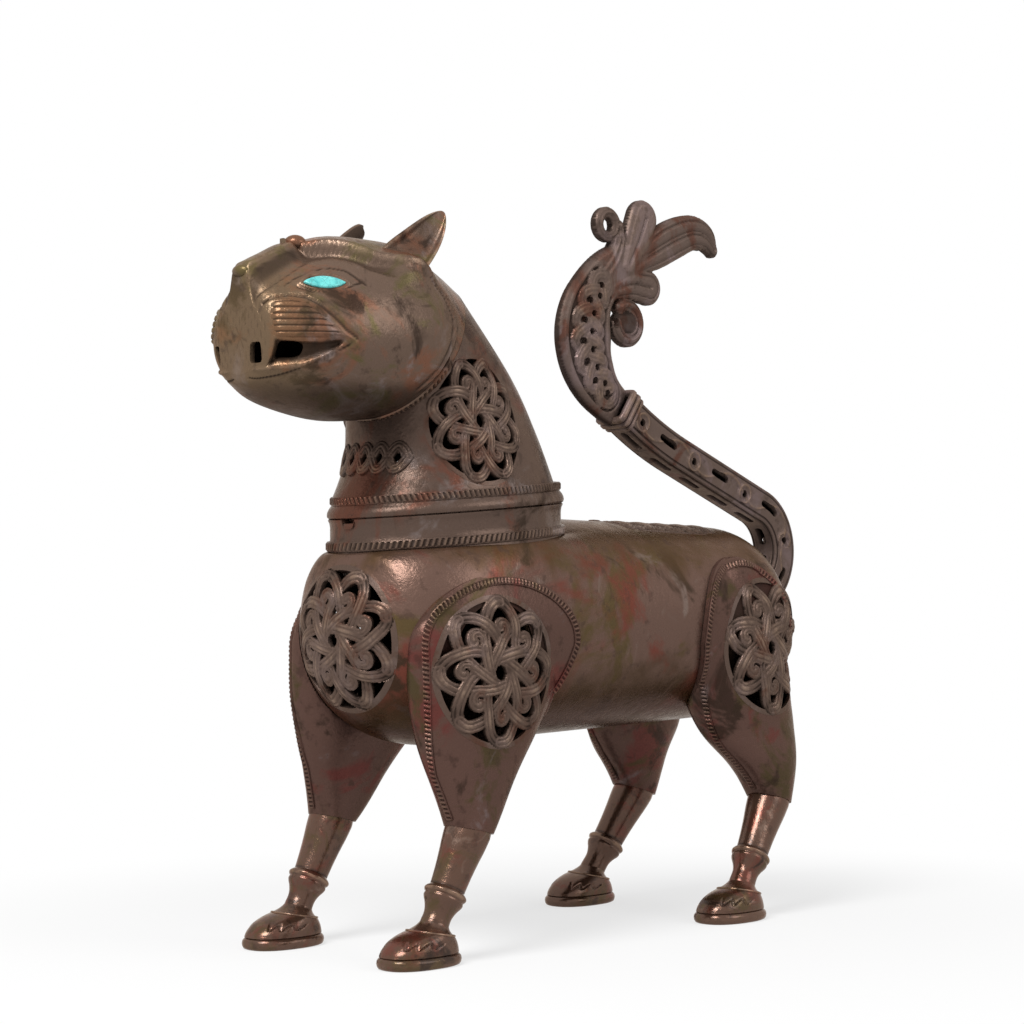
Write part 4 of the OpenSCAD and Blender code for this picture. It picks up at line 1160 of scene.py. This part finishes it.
CHIN_LINE = [(3.4, -13), (3.95, -23), (4.6, -34), (5.05, -43), (5.78, -58), (6.43, -74)]
CHEEK_RIM = [(-40, 0.58), (-23, 0.40), (-2, 0.38), (16, 0.48), (29, 0.8), (41, 1.45)]
BAR_HALF = 4.8
BROW_H = 3.4
WHISKER_PITCH = 2.66


def nose_bar(s, deg, x):
    """Tall bar along the nose: flat top and hollow side walls that end on the cove's foot."""
    foot = mix(14, 10, ease((s - 5.5) / 1.3))
    w = np.clip((x - BAR_HALF) / (foot - BAR_HALF), 0, 1)
    tall = 8.8 + 0.4 * (s - 4) + 3.0 * ease((s - 5.6) / 1.3)
    return np.where(deg > 0, tall * (1 - w) ** 2 * ease((s - 3.6) / 0.6) * ease((7.1 - s) / 0.1), 0)


def head_relief(s, t, base):
    """Height of the face's relief and its painted shade and highlight: brow, cove, eye lines, mouth, chin
    and cheek rim.
    """
    deg = face_angle(t)
    x = np.abs(base[..., 0])
    z = base[..., 2]
    ear_root = bell((s - 1.75) * 18, 10) * bell((deg - 42) * 0.65, 7)
    brow_d = edge_distance(s, deg, BROW_EDGE)
    brow = ease((brow_d + 0.9) / 2.2) * ease((s - 0.9) / 0.9) * (s < 4.3)
    cove_d = edge_distance(s, deg, COVE_FOOT)
    cove = ease(cove_d / 2) * (1 - brow) * span(s, 1.9, 4.4, 0.5)
    cove_line = bell(cove_d, 0.7) * span(s, 2.2, 6.6, 0.3)
    # Painted highlight along the brow's lower edge
    brow_rim = bell(brow_d - 0.7, 1.1) * span(s, 1.3, 3.7, 0.4)
    strokes = 0.5 + 0.5 * np.cos(2 * np.pi * (s * 7 + brow_d * 0.2))
    hatch = bell(brow_d - 5, 2.2) * span(s, 1.3, 3.8, 0.3) * strokes
    lid = bell(edge_distance(s, deg, LID_LINE), 0.55) * span(s, 2.98, 5.25)
    under = bell(edge_distance(s, deg, UNDER_LINE), 0.55) * span(s, 3.1, 4.9)
    p, q = face_plane(base)
    almond = almond_distance(p, q, EYE_L, EYE_H)
    rim = bell(almond - 1.3, 0.6)
    arch_d = edge_distance(s, deg, PAD_ARCH)
    lip_d = edge_distance(s, deg, LIP_LINE)
    arch = bell(arch_d - 0.6, 0.7) * span(s, 3.23, 6.5)
    low_d = edge_distance(s, deg, LOWER_LIP)
    in_mouth = np.minimum(-lip_d, low_d)
    mouth = ease((in_mouth + 0.6) / 2.4) * ease((s - 3.6) / 0.15) * ease((6.15 - s) / 0.14)
    lip = bell(low_d + 1.9, 1.6) * span(s, 3.6, 6.9, 0.3)
    chin = bell(edge_distance(s, deg, CHIN_LINE), 0.55) * span(s, 3.4, 6.5)
    turn, at = np.array(CHEEK_RIM).T
    behind = (s - np.interp(deg, turn, at)) * 18
    sides = ease((deg + 44) / 6) * ease((44 - deg) / 6)
    cheek = bell(behind, 0.7) * sides
    cheek_groove = (bell(behind - 1.7, 0.7) + bell(behind + 1.7, 0.7)) * sides
    side = base[..., 0]
    hairs = 0.5 + 0.5 * np.cos(side * 2 * np.pi / 2.1 + 0.8 * np.sin(z * 0.3))
    hairs = hairs * (0.6 + 0.4 * np.sin(z * 0.9 + side * 1.7)) * ease((s - 6.45) / 0.2)
    hairs = hairs * ease((289 - z) / 3) * ease((z - 259) / 3)
    h = ((BROW_H + 2.2 * ease((s - 2.1) / 1.2)) * brow - 1.6 * cove - 0.4 * cove_line - 0.6 * (lid + under)
         + 0.8 * rim - 0.7 * arch - 2.6 * mouth + 0.9 * lip - 0.7 * chin + 0.8 * cheek
         - 0.6 * cheek_groove - 0.22 * hairs - 0.3 * hatch + 4.2 * ear_root)
    # Painted highlight along the top edges of the nose bar
    bar_edge = bell(x - BAR_HALF, 0.9) * span(s, 3.9, 7.0, 0.2) * (deg > 0)
    # Painted shadow on the nose bar's side walls
    wall = ease((x - 5.4) / 1.2) * ease((13 - x) / 4) * span(s, 4.0, 6.9, 0.3) * (deg > 40)
    # Painted shade under the jaw
    jaw = ease((262 - z) / 14) * ease((6.9 - s) / 0.8)
    # Painted highlight on brow rim, eye rim, bar edges, lip and cheek rim; painted shade under the jaw, on
    # the bar's walls, in the cove, the mouth and the grooves
    shade = (0.5 - 0.27 * jaw + 0.35 * brow_rim + 0.3 * rim + 0.3 * bar_edge + 0.3 * np.clip(lip, 0, 1)
             + 0.3 * cheek - 0.3 * wall - 0.2 * cove - 0.3 * cove_line - 0.4 * (lid + under) - 0.35 * arch
             - 0.45 * mouth - 0.4 * chin - 0.35 * cheek_groove - 0.2 * hairs - 0.15 * hatch)
    return h, np.clip(shade, 0, 1)


def face_plane(points):
    """Place of head points in the eye's plane, the same on both sides."""
    level, upright = plane_axes(EYE_OUT)
    there = np.concatenate([np.abs(points[..., :1]), points[..., 1:]], -1)
    return (there - EYE_MID) @ level, (there - EYE_MID) @ upright


def head_grid(columns=188):
    """Stations and angles, closer together on the face and on the crown."""
    s = np.concatenate([np.linspace(0, 2.6, 44, endpoint=False), np.linspace(2.6, 7, 146),
                        np.linspace(7, 8, 22)[1:]])
    a = round_angles(columns)
    return grid(s, a - 0.16 * np.sin(2 * a) + 0.15 * np.cos(a))


def head_surface(s, t):
    """Head with its relief along the outward directions and the nose bar along the upright ones."""
    base = head_base(s, t)
    out = outward(head_base, np.minimum(s, 6.98), t)
    out = unit(mix(out, np.array([0, -1.0, 0]), ease((s - 6.6) / 1.0)[..., None]))
    h, shade = head_relief(s, t, base)
    bar = nose_bar(s, face_angle(t), np.abs(base[..., 0]))
    st = through(HEAD, np.clip(s, 0, 7))
    upright = unit(np.stack([0 * s, st[..., 2] - st[..., 0], st[..., 3] - st[..., 1]], -1))
    return base + out * h[..., None] + upright * bar[..., None], out, shade


def knob(middle, radii):
    """Rounded knob: an ellipsoid by latitude and longitude."""
    a, b = grid(np.linspace(-np.pi / 2, np.pi / 2, 22)[1:-1], round_angles(32))
    ball = np.stack([np.cos(a) * np.cos(b), np.cos(a) * np.sin(b), np.sin(a)], -1)
    return solid(np.asarray(middle) + ball * radii, relief=np.full(a.shape, 0.4))


def whisker_pad():
    """Patch over the upper lip between the arch and the lip line, with level grooves."""
    s, z = grid(np.linspace(3.3, 6.5, 48), np.linspace(270, 293, 110))
    st = through(HEAD, s)
    half = (st[..., 3] - st[..., 1]) / 2
    t = np.arcsin(np.clip((z - st[..., 1] - half) / half, -0.99, 0.99))
    deg = np.degrees(t)
    field = np.minimum(-edge_distance(s, deg, PAD_ARCH), edge_distance(s, deg, LIP_LINE))
    field = np.minimum(field, (6.4 - s) * 8 - 2.5 * ((z - 280) / 9) ** 2)
    lines = bell((z / WHISKER_PITCH) % 1 - 0.5, 0.15) * ease((field - 0.7) / 1.4)
    swell = ease(field / 4.5)
    base = head_base(s, t)
    out = outward(head_base, s, t)
    outer = base + out * (-0.3 + 1.5 * swell - 0.5 * lines)[..., None]
    # Grooves painted darker: painted shade
    return shell(outer, base - out * 1.2, (False, False), field, np.clip(0.52 - 0.36 * lines, 0, 1))


MOUTH_Z = 267


def outside_block(a, b, power):
    """Superellipse that reaches to 1 along both axes: below 0 inside it, above 0 outside."""
    return (np.abs(a) ** power + np.abs(b) ** power) ** (1 / power) - 1


def mouth_gaps(s, x, z):
    """Pierced gaps of the mouth: one on each side of the front tooth, the far front one nearer the side."""
    front_x = np.where(x > 0, 10.8, -16.5)
    reach = np.where(x > 0, 3.7, 2.4)
    front = outside_block((x - front_x) / reach, (z - MOUTH_Z) / 4.6, 5)
    front = front + np.where(s > 6.45, 0, 9)
    side = outside_block((s - 5.5) / 0.6, (z - MOUTH_Z) / 4.3, 3)
    return np.minimum(front, side)


def head_parts():
    """Hollow head with whisker pads, knobs on nose and brow, and a corded band under the jaw."""
    s, t = head_grid()
    outer, out, shade = head_surface(s, t)
    plain_head = head_base(s, t)
    gaps = mouth_gaps(s, plain_head[..., 0], plain_head[..., 2])
    inner = plain_head - out * (WALL + 2.4 * span(s, 3, 6.5, 0.4))[..., None]
    parts = [shell(outer, inner, (False, True), gaps, shade), whisker_pad()]
    parts += other_side([parts[1]])
    parts.append(knob([0, -182.9, 303.4], [5.2, 3.2, 2.9]))
    parts.append(knob([0, -152.5, 318.2], [5.2, 5.0, 3.8]))
    a = np.linspace(np.radians(-172), np.radians(-8), 160)
    s = 0.16 + 0 * a
    path = head_base(s, a)
    parts.append(corded_band(path, outward(head_base, s, a), *JAW_CORD, False))
    return parts


def eye_parts():
    """Domed almond: straight lines between its two arcs, crowned outwards."""
    level, upright = plane_axes(EYE_OUT)
    f, g = grid(np.linspace(-1, 1, 61), np.linspace(-1, 1, 21))
    r = (EYE_L ** 2 + EYE_H ** 2) / (4 * EYE_H)
    p = f * EYE_L / 2
    half = np.sqrt(r ** 2 - p ** 2) - r + EYE_H / 2
    q = g * half
    crown = np.sqrt(np.maximum(0, 1 - g ** 2)) * np.maximum(0, half) / (EYE_H / 2)
    flat = EYE_MID + p[..., None] * level + q[..., None] * upright
    outer = flat + EYE_OUT * (0.3 + crown)[..., None]
    return [shell(outer, flat - EYE_OUT * 2.0, (False, False))]


EAR_TIP = np.array([28.5, -88.5, 335.5])


def ear_parts():
    """Pointed spoon that leans back: a hollow front face and a thick rounded back."""
    foot = np.array([27.5, -121.5, 305.5])
    axis = unit(EAR_TIP - foot)
    opening = np.array([0.83, -0.42, 0.36])
    opening = unit(opening - axis * np.dot(opening, axis))
    side = np.cross(axis, opening)
    f, g = grid(1 - np.linspace(1, 0, 56) ** 1.4, np.linspace(-1, 1, 41))
    width = through([[8.5], [10.2], [10.2], [9.2], [7.8], [6.0], [4.0]], 6 * f)[..., 0]
    width = width * np.sqrt(1 - f ** 9)
    middle = foot + (EAR_TIP - foot) * f[..., None] + side * (1.5 * np.sin(np.pi * f))[..., None]
    dome = np.sqrt(np.maximum(0, 1 - g ** 2))
    cup = 3.4 * ease(f / 0.25) * ease((1 - f) / 0.35) * (1 - g ** 4)
    rim = 0.8 * bell(np.abs(g) - 0.86, 0.12) * ease((1 - f) / 0.1)
    back = 1.6 + mix(13, 2.2, f ** 0.7) * dome * ease((1 - f) / 0.08)
    across = side * (width * g)[..., None]
    front_face = middle + across + opening * (rim - cup)[..., None]
    back_face = middle + across - opening * back[..., None]
    # Painted highlight on the rim and painted shade in the cup
    shade = 0.5 + 0.35 * bell(np.abs(g) - 0.9, 0.15) - 0.2 * ease(cup / 3)
    return [shell(front_face, back_face, (False, False), None, shade)]


# Tail

STEM_W, STEM_T = 16, 17
ELBOW_Y, ELBOW_Z, ELBOW_R = 154.5, 183, 25
STEM_END = np.radians(68.5)
STEM_L = 118
BEND_FROM, BEND = 70, 0.0025


def stem_path(l):
    """Point, upper side and direction at length l: an arc, a straight run and an upward bend."""
    arc = STEM_END + np.minimum(l, 0) / ELBOW_R
    past = np.maximum(l, 0)
    bent = np.maximum(l - BEND_FROM, 0)
    up = np.stack([0 * l, np.cos(arc), np.sin(arc)], -1)
    along = np.stack([0 * l, -np.sin(arc), np.cos(arc)], -1)
    elbow = np.array([0, ELBOW_Y, ELBOW_Z])
    point = elbow + (ELBOW_R + BEND * bent ** 2)[..., None] * up + past[..., None] * along
    turn = (2 * BEND * bent)[..., None]
    return point, up * np.cos(turn) - along * np.sin(turn), along * np.cos(turn) + up * np.sin(turn)


VINE_FIRST, VINE_PITCH = 40, 43
UNDER_FIRST, UNDER_PITCH = 6, 23.5


def square_section(n):
    """Rounded square of half width 1 with evenly spaced points, as two columns."""
    t = round_angles(2000)
    dense = np.stack([signed_power(np.cos(t), 0.2), signed_power(np.sin(t), 0.2), 0 * t], -1)
    return even_path(dense, dense + [0, 0, 1], run_length(dense)[-1] / n, True)[0][:, :2].T


def stem_parts():
    """Square tube with rounded corners: slots and curls in turn along the sides, scalloped slots below."""
    arc_l = ELBOW_R * np.radians(186.5)
    l = np.concatenate([np.linspace(-arc_l, 0, 80, endpoint=False), np.linspace(0, STEM_L, 220)])[:, None]
    c, s = square_section(120)
    l, c = np.broadcast_arrays(l, c)
    s = np.broadcast_to(s, l.shape)
    point, up, _ = stem_path(l)
    side = np.array([1.0, 0, 0])

    def ring(d):
        return (point + side * ((STEM_W / 2 + d) * c)[..., None] + up * ((STEM_T / 2 + d) * s)[..., None])

    on_side = np.abs(c) > 0.9
    under = s < -0.9
    across = np.where(on_side, s * STEM_T / 2, c * STEM_W / 2)
    run = from_nearest(l, VINE_FIRST, VINE_PITCH)
    under_run = np.abs(from_nearest(l, UNDER_FIRST, UNDER_PITCH))
    curl_run = np.abs(np.abs(run) - VINE_PITCH / 2)
    slot = np.hypot(np.maximum(np.abs(run) - 5.0, 0), across - 0.6) - 1.9
    eyelet = np.hypot(curl_run, across + 0.5) - 2.0
    below = np.hypot(np.maximum(under_run - 5.2, 0), across) - 2.3
    pierced = np.where(on_side, np.minimum(slot, eyelet), np.where(under, below, 9))
    pierced = np.where((l > 8 - arc_l) & (l < STEM_L - 9), pierced, 9)
    vine = np.abs(across - 4.2 * np.cos(2 * np.pi * (l - VINE_FIRST) / VINE_PITCH + 1.2))
    ring_d = np.abs(np.hypot(curl_run, across + 0.5) - 4.4)
    strand = np.maximum(bell(vine, 0.9), bell(ring_d, 0.8)) * on_side * (l < STEM_L - 9)
    border = bell(np.abs(across) - 6.4, 0.5)
    height = 0.8 * strand - 0.5 * border
    outer = ring(0) + (ring(1) - ring(0)) * height[..., None]
    # Strands painted lighter and the border grooves darker: painted highlight and painted shade
    shade = np.clip(0.45 + 0.4 * strand - 0.35 * border, 0, 1)
    parts = [shell(outer, ring(-2.2), (False, True), pierced, shade)]
    c, s = (v[:, None] for v in square_section(100))
    for at, thick in ((STEM_L - 7.5, 1.3), (STEM_L - 4.2, 1.9), (STEM_L - 0.6, 1.9)):
        point, up, _ = stem_path(np.array(at))
        path = point + side * STEM_W / 2 * c + up * STEM_T / 2 * s
        parts.append(rolled_edge(path, unit(side * c + up * s), thick, 0.8))
    return parts


# Plume: strands and leaves in the plane of y and z, carved alike on both faces

def stroke(points, widths, n=90):
    """Smooth line through points and its half widths."""
    rows = np.concatenate([np.asarray(points, float), np.asarray(widths, float)[:, None]], 1)
    rows = through(rows, np.linspace(0, len(rows) - 1, n))
    return rows[:, :2], rows[:, 2]


def curl(middle, wide, tight, first, last, thick, thin, n=90):
    """Spiral line about a middle, angles in degrees."""
    s = np.linspace(0, 1, n)
    a = np.radians(mix(first, last, s))
    r = mix(wide, tight, s)
    return np.asarray(middle) + np.stack([r * np.cos(a), r * np.sin(a)], -1), mix(thick, thin, s)


def lay_leaf(work, at, line, half, level, grooves):
    """Adds a leaf to the plume: rounded edge, level top and grooves along it at shares of its width."""
    cover, height = work
    k, d = nearest(at, line)
    q = d / half[k]
    inside = (1 - q) * half[k]
    h = level + 1.6 * np.sqrt(np.clip(inside / 3.0, 0, 1)) - 1.6
    for share in grooves:
        h = h - 1.3 * bell((q - share) * half[k], 0.7) * ease(k / (0.12 * len(line)))
    on_top = (inside > 0) & (h > height)
    return np.maximum(cover, inside), np.where(on_top, h, height)


BLADE = [(61.5, 251), (48.5, 259), (40, 267.5), (34.2, 278), (32.5, 289.5), (34.5, 301), (40.5, 312),
         (49.5, 321), (58.5, 328)]
BLADE_HALF = [9.6, 12.2, 15.4, 17.8, 18.8, 17.2, 14.2, 12.5, 10]


def beside(line, half, share):
    """Line at a share of the half width to the left of a line."""
    ahead = unit(np.gradient(line, axis=0))
    return line + (share * half)[:, None] * np.stack([-ahead[:, 1], ahead[:, 0]], -1)


PLAIT = slice(34, 172)
WAVES = 2
PLAIT_WIDE = 0.48


def plait_strand(line, half, phase):
    """One of three plaited strands along a line, with its lift."""
    s = np.linspace(0, 2 * np.pi * WAVES, len(line)) + phase
    return beside(line, half, PLAIT_WIDE * np.cos(s)), 0.2 + 0.5 * np.sin(2 * s)


def lay_cord(work, at, line, lift, half):
    """Adds a cord with two grooves to the relief; the outline stays."""
    cover, height = work
    for k in stretches(len(line), 10, 2):
        near, d = nearest(at, line[k])
        q = d / half
        h = lift[k][near] + 0.9 * np.sqrt(np.clip(1 - q ** 4, 0, 1)) - 0.5 * bell(q - 0.42, 0.16)
        height = np.where((q < 1) & (h > height), h, height)
    return cover, height


def plume_work(at):
    """The plume's outline and relief from its blade, scrolls and leaves, as (y, z) lines."""
    work = bare_plate(at, -3.0)
    blade, half = stroke(BLADE, BLADE_HALF, 220)
    cover, height = lay_leaf(work, at, blade, half, 0.4, ())
    near, d = nearest(at, blade[PLAIT])
    height = height - 1.5 * ease((0.74 - d / half[PLAIT][near]) / 0.07)
    work = (cover, height)
    for phase in np.radians([0, 120, 240]):
        work = lay_cord(work, at, *plait_strand(blade[PLAIT], half[PLAIT], phase), 3.0)
    for end in (PLAIT.start, PLAIT.stop):
        ring, _ = curl(blade[end], 5.8, 5.8, 0, 360, 0, 0)
        work = lay_cord(work, at, ring, 0.3 + 0 * ring[:, 0], 2.6)
    leaves = [
        (stroke([(49, 319), (59, 326), (70, 331)], [9, 11, 9]), 0.4, ()),
        (stroke([(59, 297), (67, 297)], [6, 7]), -0.9, ()),
        (curl((63.2, 297.2), 9.4, 8.6, 125, -172, 3.4, 3.2), 1.0, (0.5,)),
        (stroke([(53, 313), (66, 317), (79.5, 316.4)], [5, 8, 9]), 0.7, (0.0, 0.62)),
        (stroke([(68, 327), (84, 335.5), (99.5, 343), (113.5, 347.6), (124, 346), (130, 340)],
                [6, 9.8, 10.4, 9.2, 7.6, 4.0]), 0.8, (0.1, 0.66)),
        (stroke([(63, 326), (71, 340), (76, 351)], [5.5, 9, 9.8]), 1.2, (0.0,)),
        (stroke([(58, 346), (58, 338), (54, 329), (47, 321)], [3.2, 5, 6.5, 6.5]), 0.9, (0.0, 0.55)),
        (curl((49.6, 345.8), 6.2, 5.8, 20, 380, 3.0, 2.7), 1.2, (0.4,)),
    ]
    for (line, half), level, grooves in leaves:
        work = lay_leaf(work, at, line, half, level, grooves)
    return work


def plait_holes():
    """Places of the pierced holes: in each bend of the plait, in each end ring and in the scroll."""
    blade, half = stroke(BLADE, BLADE_HALF, 220)
    n = np.arange(1, 6 * WAVES)
    at = PLAIT.start + np.round(n * (PLAIT.stop - PLAIT.start - 1) / (6 * WAVES)).astype(int)
    left = beside(blade, half, 0.3 * PLAIT_WIDE)[at]
    right = beside(blade, half, -0.3 * PLAIT_WIDE)[at]
    bends = np.where((n % 2 == 0)[:, None], left, right)
    return np.concatenate([bends, blade[[PLAIT.start, PLAIT.stop]], [(54.2, 295.5), (54.2, 297.5)]])


def plume_parts():
    """Flat plume, thickest in its middle, that starts at the end of the stem."""
    y, z = grid(np.arange(10, 137, 0.6), np.arange(240, 364, 0.6))
    at = places(y, z)
    cover, height = (v.reshape(y.shape) for v in plume_work(at))
    point, up, along = stem_path(np.array(float(STEM_L)))
    past = (y - point[1]) * along[1] + (z - point[2]) * along[2]
    sideways = np.abs((y - point[1]) * up[1] + (z - point[2]) * up[2])
    cover = np.where(sideways < 16, np.minimum(cover, past + 2.5), cover)
    rounding = np.sqrt(1 - (1 - np.clip(cover / 3.4, 0, 1)) ** 2)
    half = 0.9 + (2.5 + 0.65 * np.clip(height, -2, 2.4)) * rounding
    _, d = nearest(at, plait_holes())
    cover = np.minimum(cover, d.reshape(y.shape) - 1.7)
    x = np.stack([half, y, z], -1)
    # Colour mark follows the height: low parts get painted shade, high parts rubbed wear and painted
    # highlight
    return [shell(x, x * [-1, 1, 1], (False, False), cover, np.clip(0.42 + 0.22 * height, 0.05, 1))]


# Chest, back and neck grilles

def chest_grille(work):
    """Roundel on the front of the chest: the disc is laid on it along the long axis."""
    x = (CHEST_GRILLE_R + 0.5) * DISC_P
    z = CHEST_GRILLE_Z + (CHEST_GRILLE_R + 0.5) * DISC_Q
    share = np.clip(np.hypot(x, z - AXIS_Z) / CHEST_R, 0.02, 0.97)
    y = CHEST_Y - rounded_end(CHEST_LEN, share)
    points = np.stack([x, y, z], -1)
    out = normals(points, (False, False))
    out = np.where(out[..., 1:2] > 0, -out, out)
    return grille(work, points, out, *CHEST_PLATE)


def back_grille():
    """Long panel: two crossing waves with leaves and an oval rim, on the barrel's back."""
    y, x = grid(np.linspace(-BACK_HALF - 1, BACK_HALF + 1, 220), np.linspace(-BACK_W - 1, BACK_W + 1, 126))
    at = places(x, y)
    work = bare_plate(at)
    s = np.linspace(-1, 1, 400)
    for sign in (-1, 1):
        taper = ease((1 - np.abs(s)) / 0.22)
        line = np.stack([sign * 17.5 * np.cos(s * np.pi * 2.5) * taper, s * (BACK_HALF - 2)], -1)
        lift = 0.5 * sign * np.sin(s * np.pi * 2.5 + 0.2)
        work = lay_crossing(work, at, line, 2.8, lift, 40, 3)
    for j in np.arange(-2, 2.1, 0.5):
        for sign in (-1, 1):
            middle = (sign * (15.3 if j % 1 else 8.0), j * 14.8)
            line, half = curl(middle, 5.2, 1.4, 90 + 90 * sign, 90 + 90 * sign + 250 * sign, 1.7, 2.6)
            work = lay_strand(work, at, line, half, 0.15 + 0 * half)
    t = round_angles(500)
    rim_r = BACK_W - 0.8
    past = np.sign(np.sin(t)) * (BACK_HALF - BACK_W)
    rim = np.stack([rim_r * np.cos(t), rim_r * np.sin(t) + past], -1)
    along = np.linspace(BACK_W - BACK_HALF, BACK_HALF - BACK_W, 60)
    straight = np.stack([np.full(60, rim_r), along], -1)
    for line in (rim, straight, straight * [-1, 1]):
        work = lay_strand(work, at, line, np.full(len(line), 1.5), np.full(len(line), -0.3), 2.0)
    cover, height = (v.reshape(y.shape) for v in work)
    yy = BACK_Y + y
    z = AXIS_Z + np.sqrt(torso_r(yy) ** 2 - x ** 2)
    points = np.stack([x, yy, z], -1)
    out = unit(np.stack([x, 0 * x, z - AXIS_Z], -1))
    return grille((cover, height), points, out, *BACK_PLATE)


# Putting the burner together

cast("torso", torso_parts(), "body", "torso_shell", torso_finish)
cast("collar", collar_parts(), "body", "neck_collar", neck_finish)
eight = design(5, 3, 0.545, 0.368, STRAND_HALF, LEAF)
eight_turned = design(5, 3, 0.54, 0.372, STRAND_HALF, LEAF, 0.35)
seven = design(4, 3, 0.545, 0.36, WIDE_STRAND_HALF, WIDE_LEAF, 0.2)
cast("chest_openwork", [chest_grille(eight_turned)], "body", "chest_grille",
     openwork_finish)
cast("back_openwork", [back_grille()], "body", "back_grille", openwork_finish)

legs = {
    "front": (FRONT_LEG, FRONT_TOP, FRONT_KNEE, FRONT_FOOT, FRONT_MID, 1.65, eight),
    "rear": (REAR_LEG, REAR_TOP, REAR_KNEE, REAR_FOOT, REAR_MID, 1.1, seven),
}
for end, (leg, top, knee, foot, mid, rear_u, work) in legs.items():
    made = {
        "leg_case": (leg_parts(leg, top, knee, foot, mid, rear_u), "patinated bronze", leg_finish),
        "grille": ([leg_grille(leg, top, mid, work)], "openwork bronze", openwork_finish),
        "shank": (shank_parts(knee, foot), "worn bronze", worn_finish),
        "paw": (paw_parts(knee, foot), "worn bronze", worn_finish),
    }
    for part, (parts, slot, finish) in made.items():
        cast_pair(f"{end}_left_{part}_cast", parts, "body", f"{end}_left_{part}", finish)

cast("tail", stem_parts(), "body", "tail_stem", tail_finish)
cast("plume", plume_parts(), "body", "tail_plume", tail_finish)

cast("neck", neck_parts(), "head_lid", "neck_shell", neck_finish)
roundel, roundel_out = neck_roundel()
neck_design = design(5, 3, 0.545, 0.368, STRAND_HALF, LEAF, 0.5)
neck_work = [grille(neck_design, roundel, roundel_out, *NECK_PLATE)]
cast_pair("neck_left_openwork", neck_work, "head_lid", "neck_left_grille",
          openwork_finish)
cast("head", head_parts(), "head_lid", "head_shell", head_finish, HEAD_SMOOTH_BELOW)
cast_pair("left_ear_cast", ear_parts(), "head_lid", "left_ear", head_finish)
cast_pair("left_eye_stone", eye_parts(), "head_lid", "left_eye", eye_stone)


# Floor, light and camera

def seen_rays(wire):
    """1 for rays that the camera, a reflection or glass sends out, 0 for light on its way to a surface."""
    path = [wire.node("ShaderNodeLightPath", out=name) for name in ("Is Camera Ray", "Is Glossy Ray",
                                                                   "Is Transmission Ray")]
    return (path[0] + path[1] + path[2]).clamped()


def floor_and_sky():
    """Pale floor that keeps the shadow near the object and is white further off, and a white surround."""
    mesh = bpy.data.meshes.new("floor")
    n = 3.0
    mesh.from_pydata([(-n, -n, 0), (n, -n, 0), (n, n, 0), (-n, n, 0)], [], [(0, 1, 2, 3)])
    floor = bpy.data.objects.new("floor", mesh)
    bpy.context.scene.collection.objects.link(floor)
    made, wire = new_finish("pale_floor")
    where = wire.node("ShaderNodeTexCoord", out=3)
    far = wire.node("ShaderNodeVectorMath", {"operation": "LENGTH"}, {0: where}, 1).between(0.14, 0.42)
    pale = wire.node("ShaderNodeBsdfDiffuse", None, {"Color": (0.8, 0.8, 0.8, 1)})
    bright = wire.node("ShaderNodeEmission", None, {"Color": (1, 1, 1, 1), "Strength": 1.0})
    share = seen_rays(wire) * (0.7 + far * 0.3)
    both = wire.node("ShaderNodeMixShader", None, {0: share, 1: pale, 2: bright})
    wire.node("ShaderNodeOutputMaterial", None, {"Surface": both})
    mesh.materials.append(made)
    world = bpy.data.worlds.new("studio")
    bpy.context.scene.world = world
    world.use_nodes = True
    world.node_tree.nodes.clear()
    wire = Wire(world.node_tree)
    ambient = wire.node("ShaderNodeBackground", None, {"Color": (1, 1, 1, 1), "Strength": 0.3})
    white = wire.node("ShaderNodeBackground", None, {"Color": (1, 1, 1, 1), "Strength": 1.0})
    both = wire.node("ShaderNodeMixShader", None, {0: seen_rays(wire), 1: ambient, 2: white})
    wire.node("ShaderNodeOutputWorld", None, {"Surface": both})


def pose(right, above, back, place):
    """Matrix of an object at a place with its axes along three directions."""
    rows = np.stack([right, above, back, place], 1)
    return Matrix([*rows.tolist(), [0, 0, 0, 1]])


def lamp(name, place, target, size, power):
    """Round area lamp that faces a target."""
    data = bpy.data.lights.new(name, "AREA")
    data.shape = "DISK"
    data.size = size
    data.energy = power
    made = bpy.data.objects.new(name, data)
    back = unit(np.array(place, float) - np.array(target, float))
    made.matrix_world = pose(*plane_axes(back), back, place)
    bpy.context.scene.collection.objects.link(made)


floor_and_sky()
lamp("key", (0.25, -1.0, 1.25), (0, -0.05, 0.18), 0.7, 24)
lamp("fill", (1.2, 0.5, 0.9), (0, 0, 0.18), 0.9, 6)

EYE_PLACE = np.array([850.98, -864.07, 165.23])
LOOK_AT = np.array([0, -18, 200.8])
TURN, ROLL = np.radians(45.17), np.radians(0.5)
back = unit(EYE_PLACE - LOOK_AT)
level = np.array([np.cos(TURN), np.sin(TURN), 0])
upright = np.cross(back, level)
right = level * np.cos(ROLL) - upright * np.sin(ROLL)
above = upright * np.cos(ROLL) + level * np.sin(ROLL)
view = bpy.data.cameras.new("view")
view.lens = 87.79
view.sensor_width = 36
view.clip_start = 0.01
camera = bpy.data.objects.new("view", view)
camera.matrix_world = pose(right, above, back, EYE_PLACE * MM)
bpy.context.scene.collection.objects.link(camera)
bpy.context.scene.camera = camera
bpy.context.scene.view_settings.view_transform = "Standard"
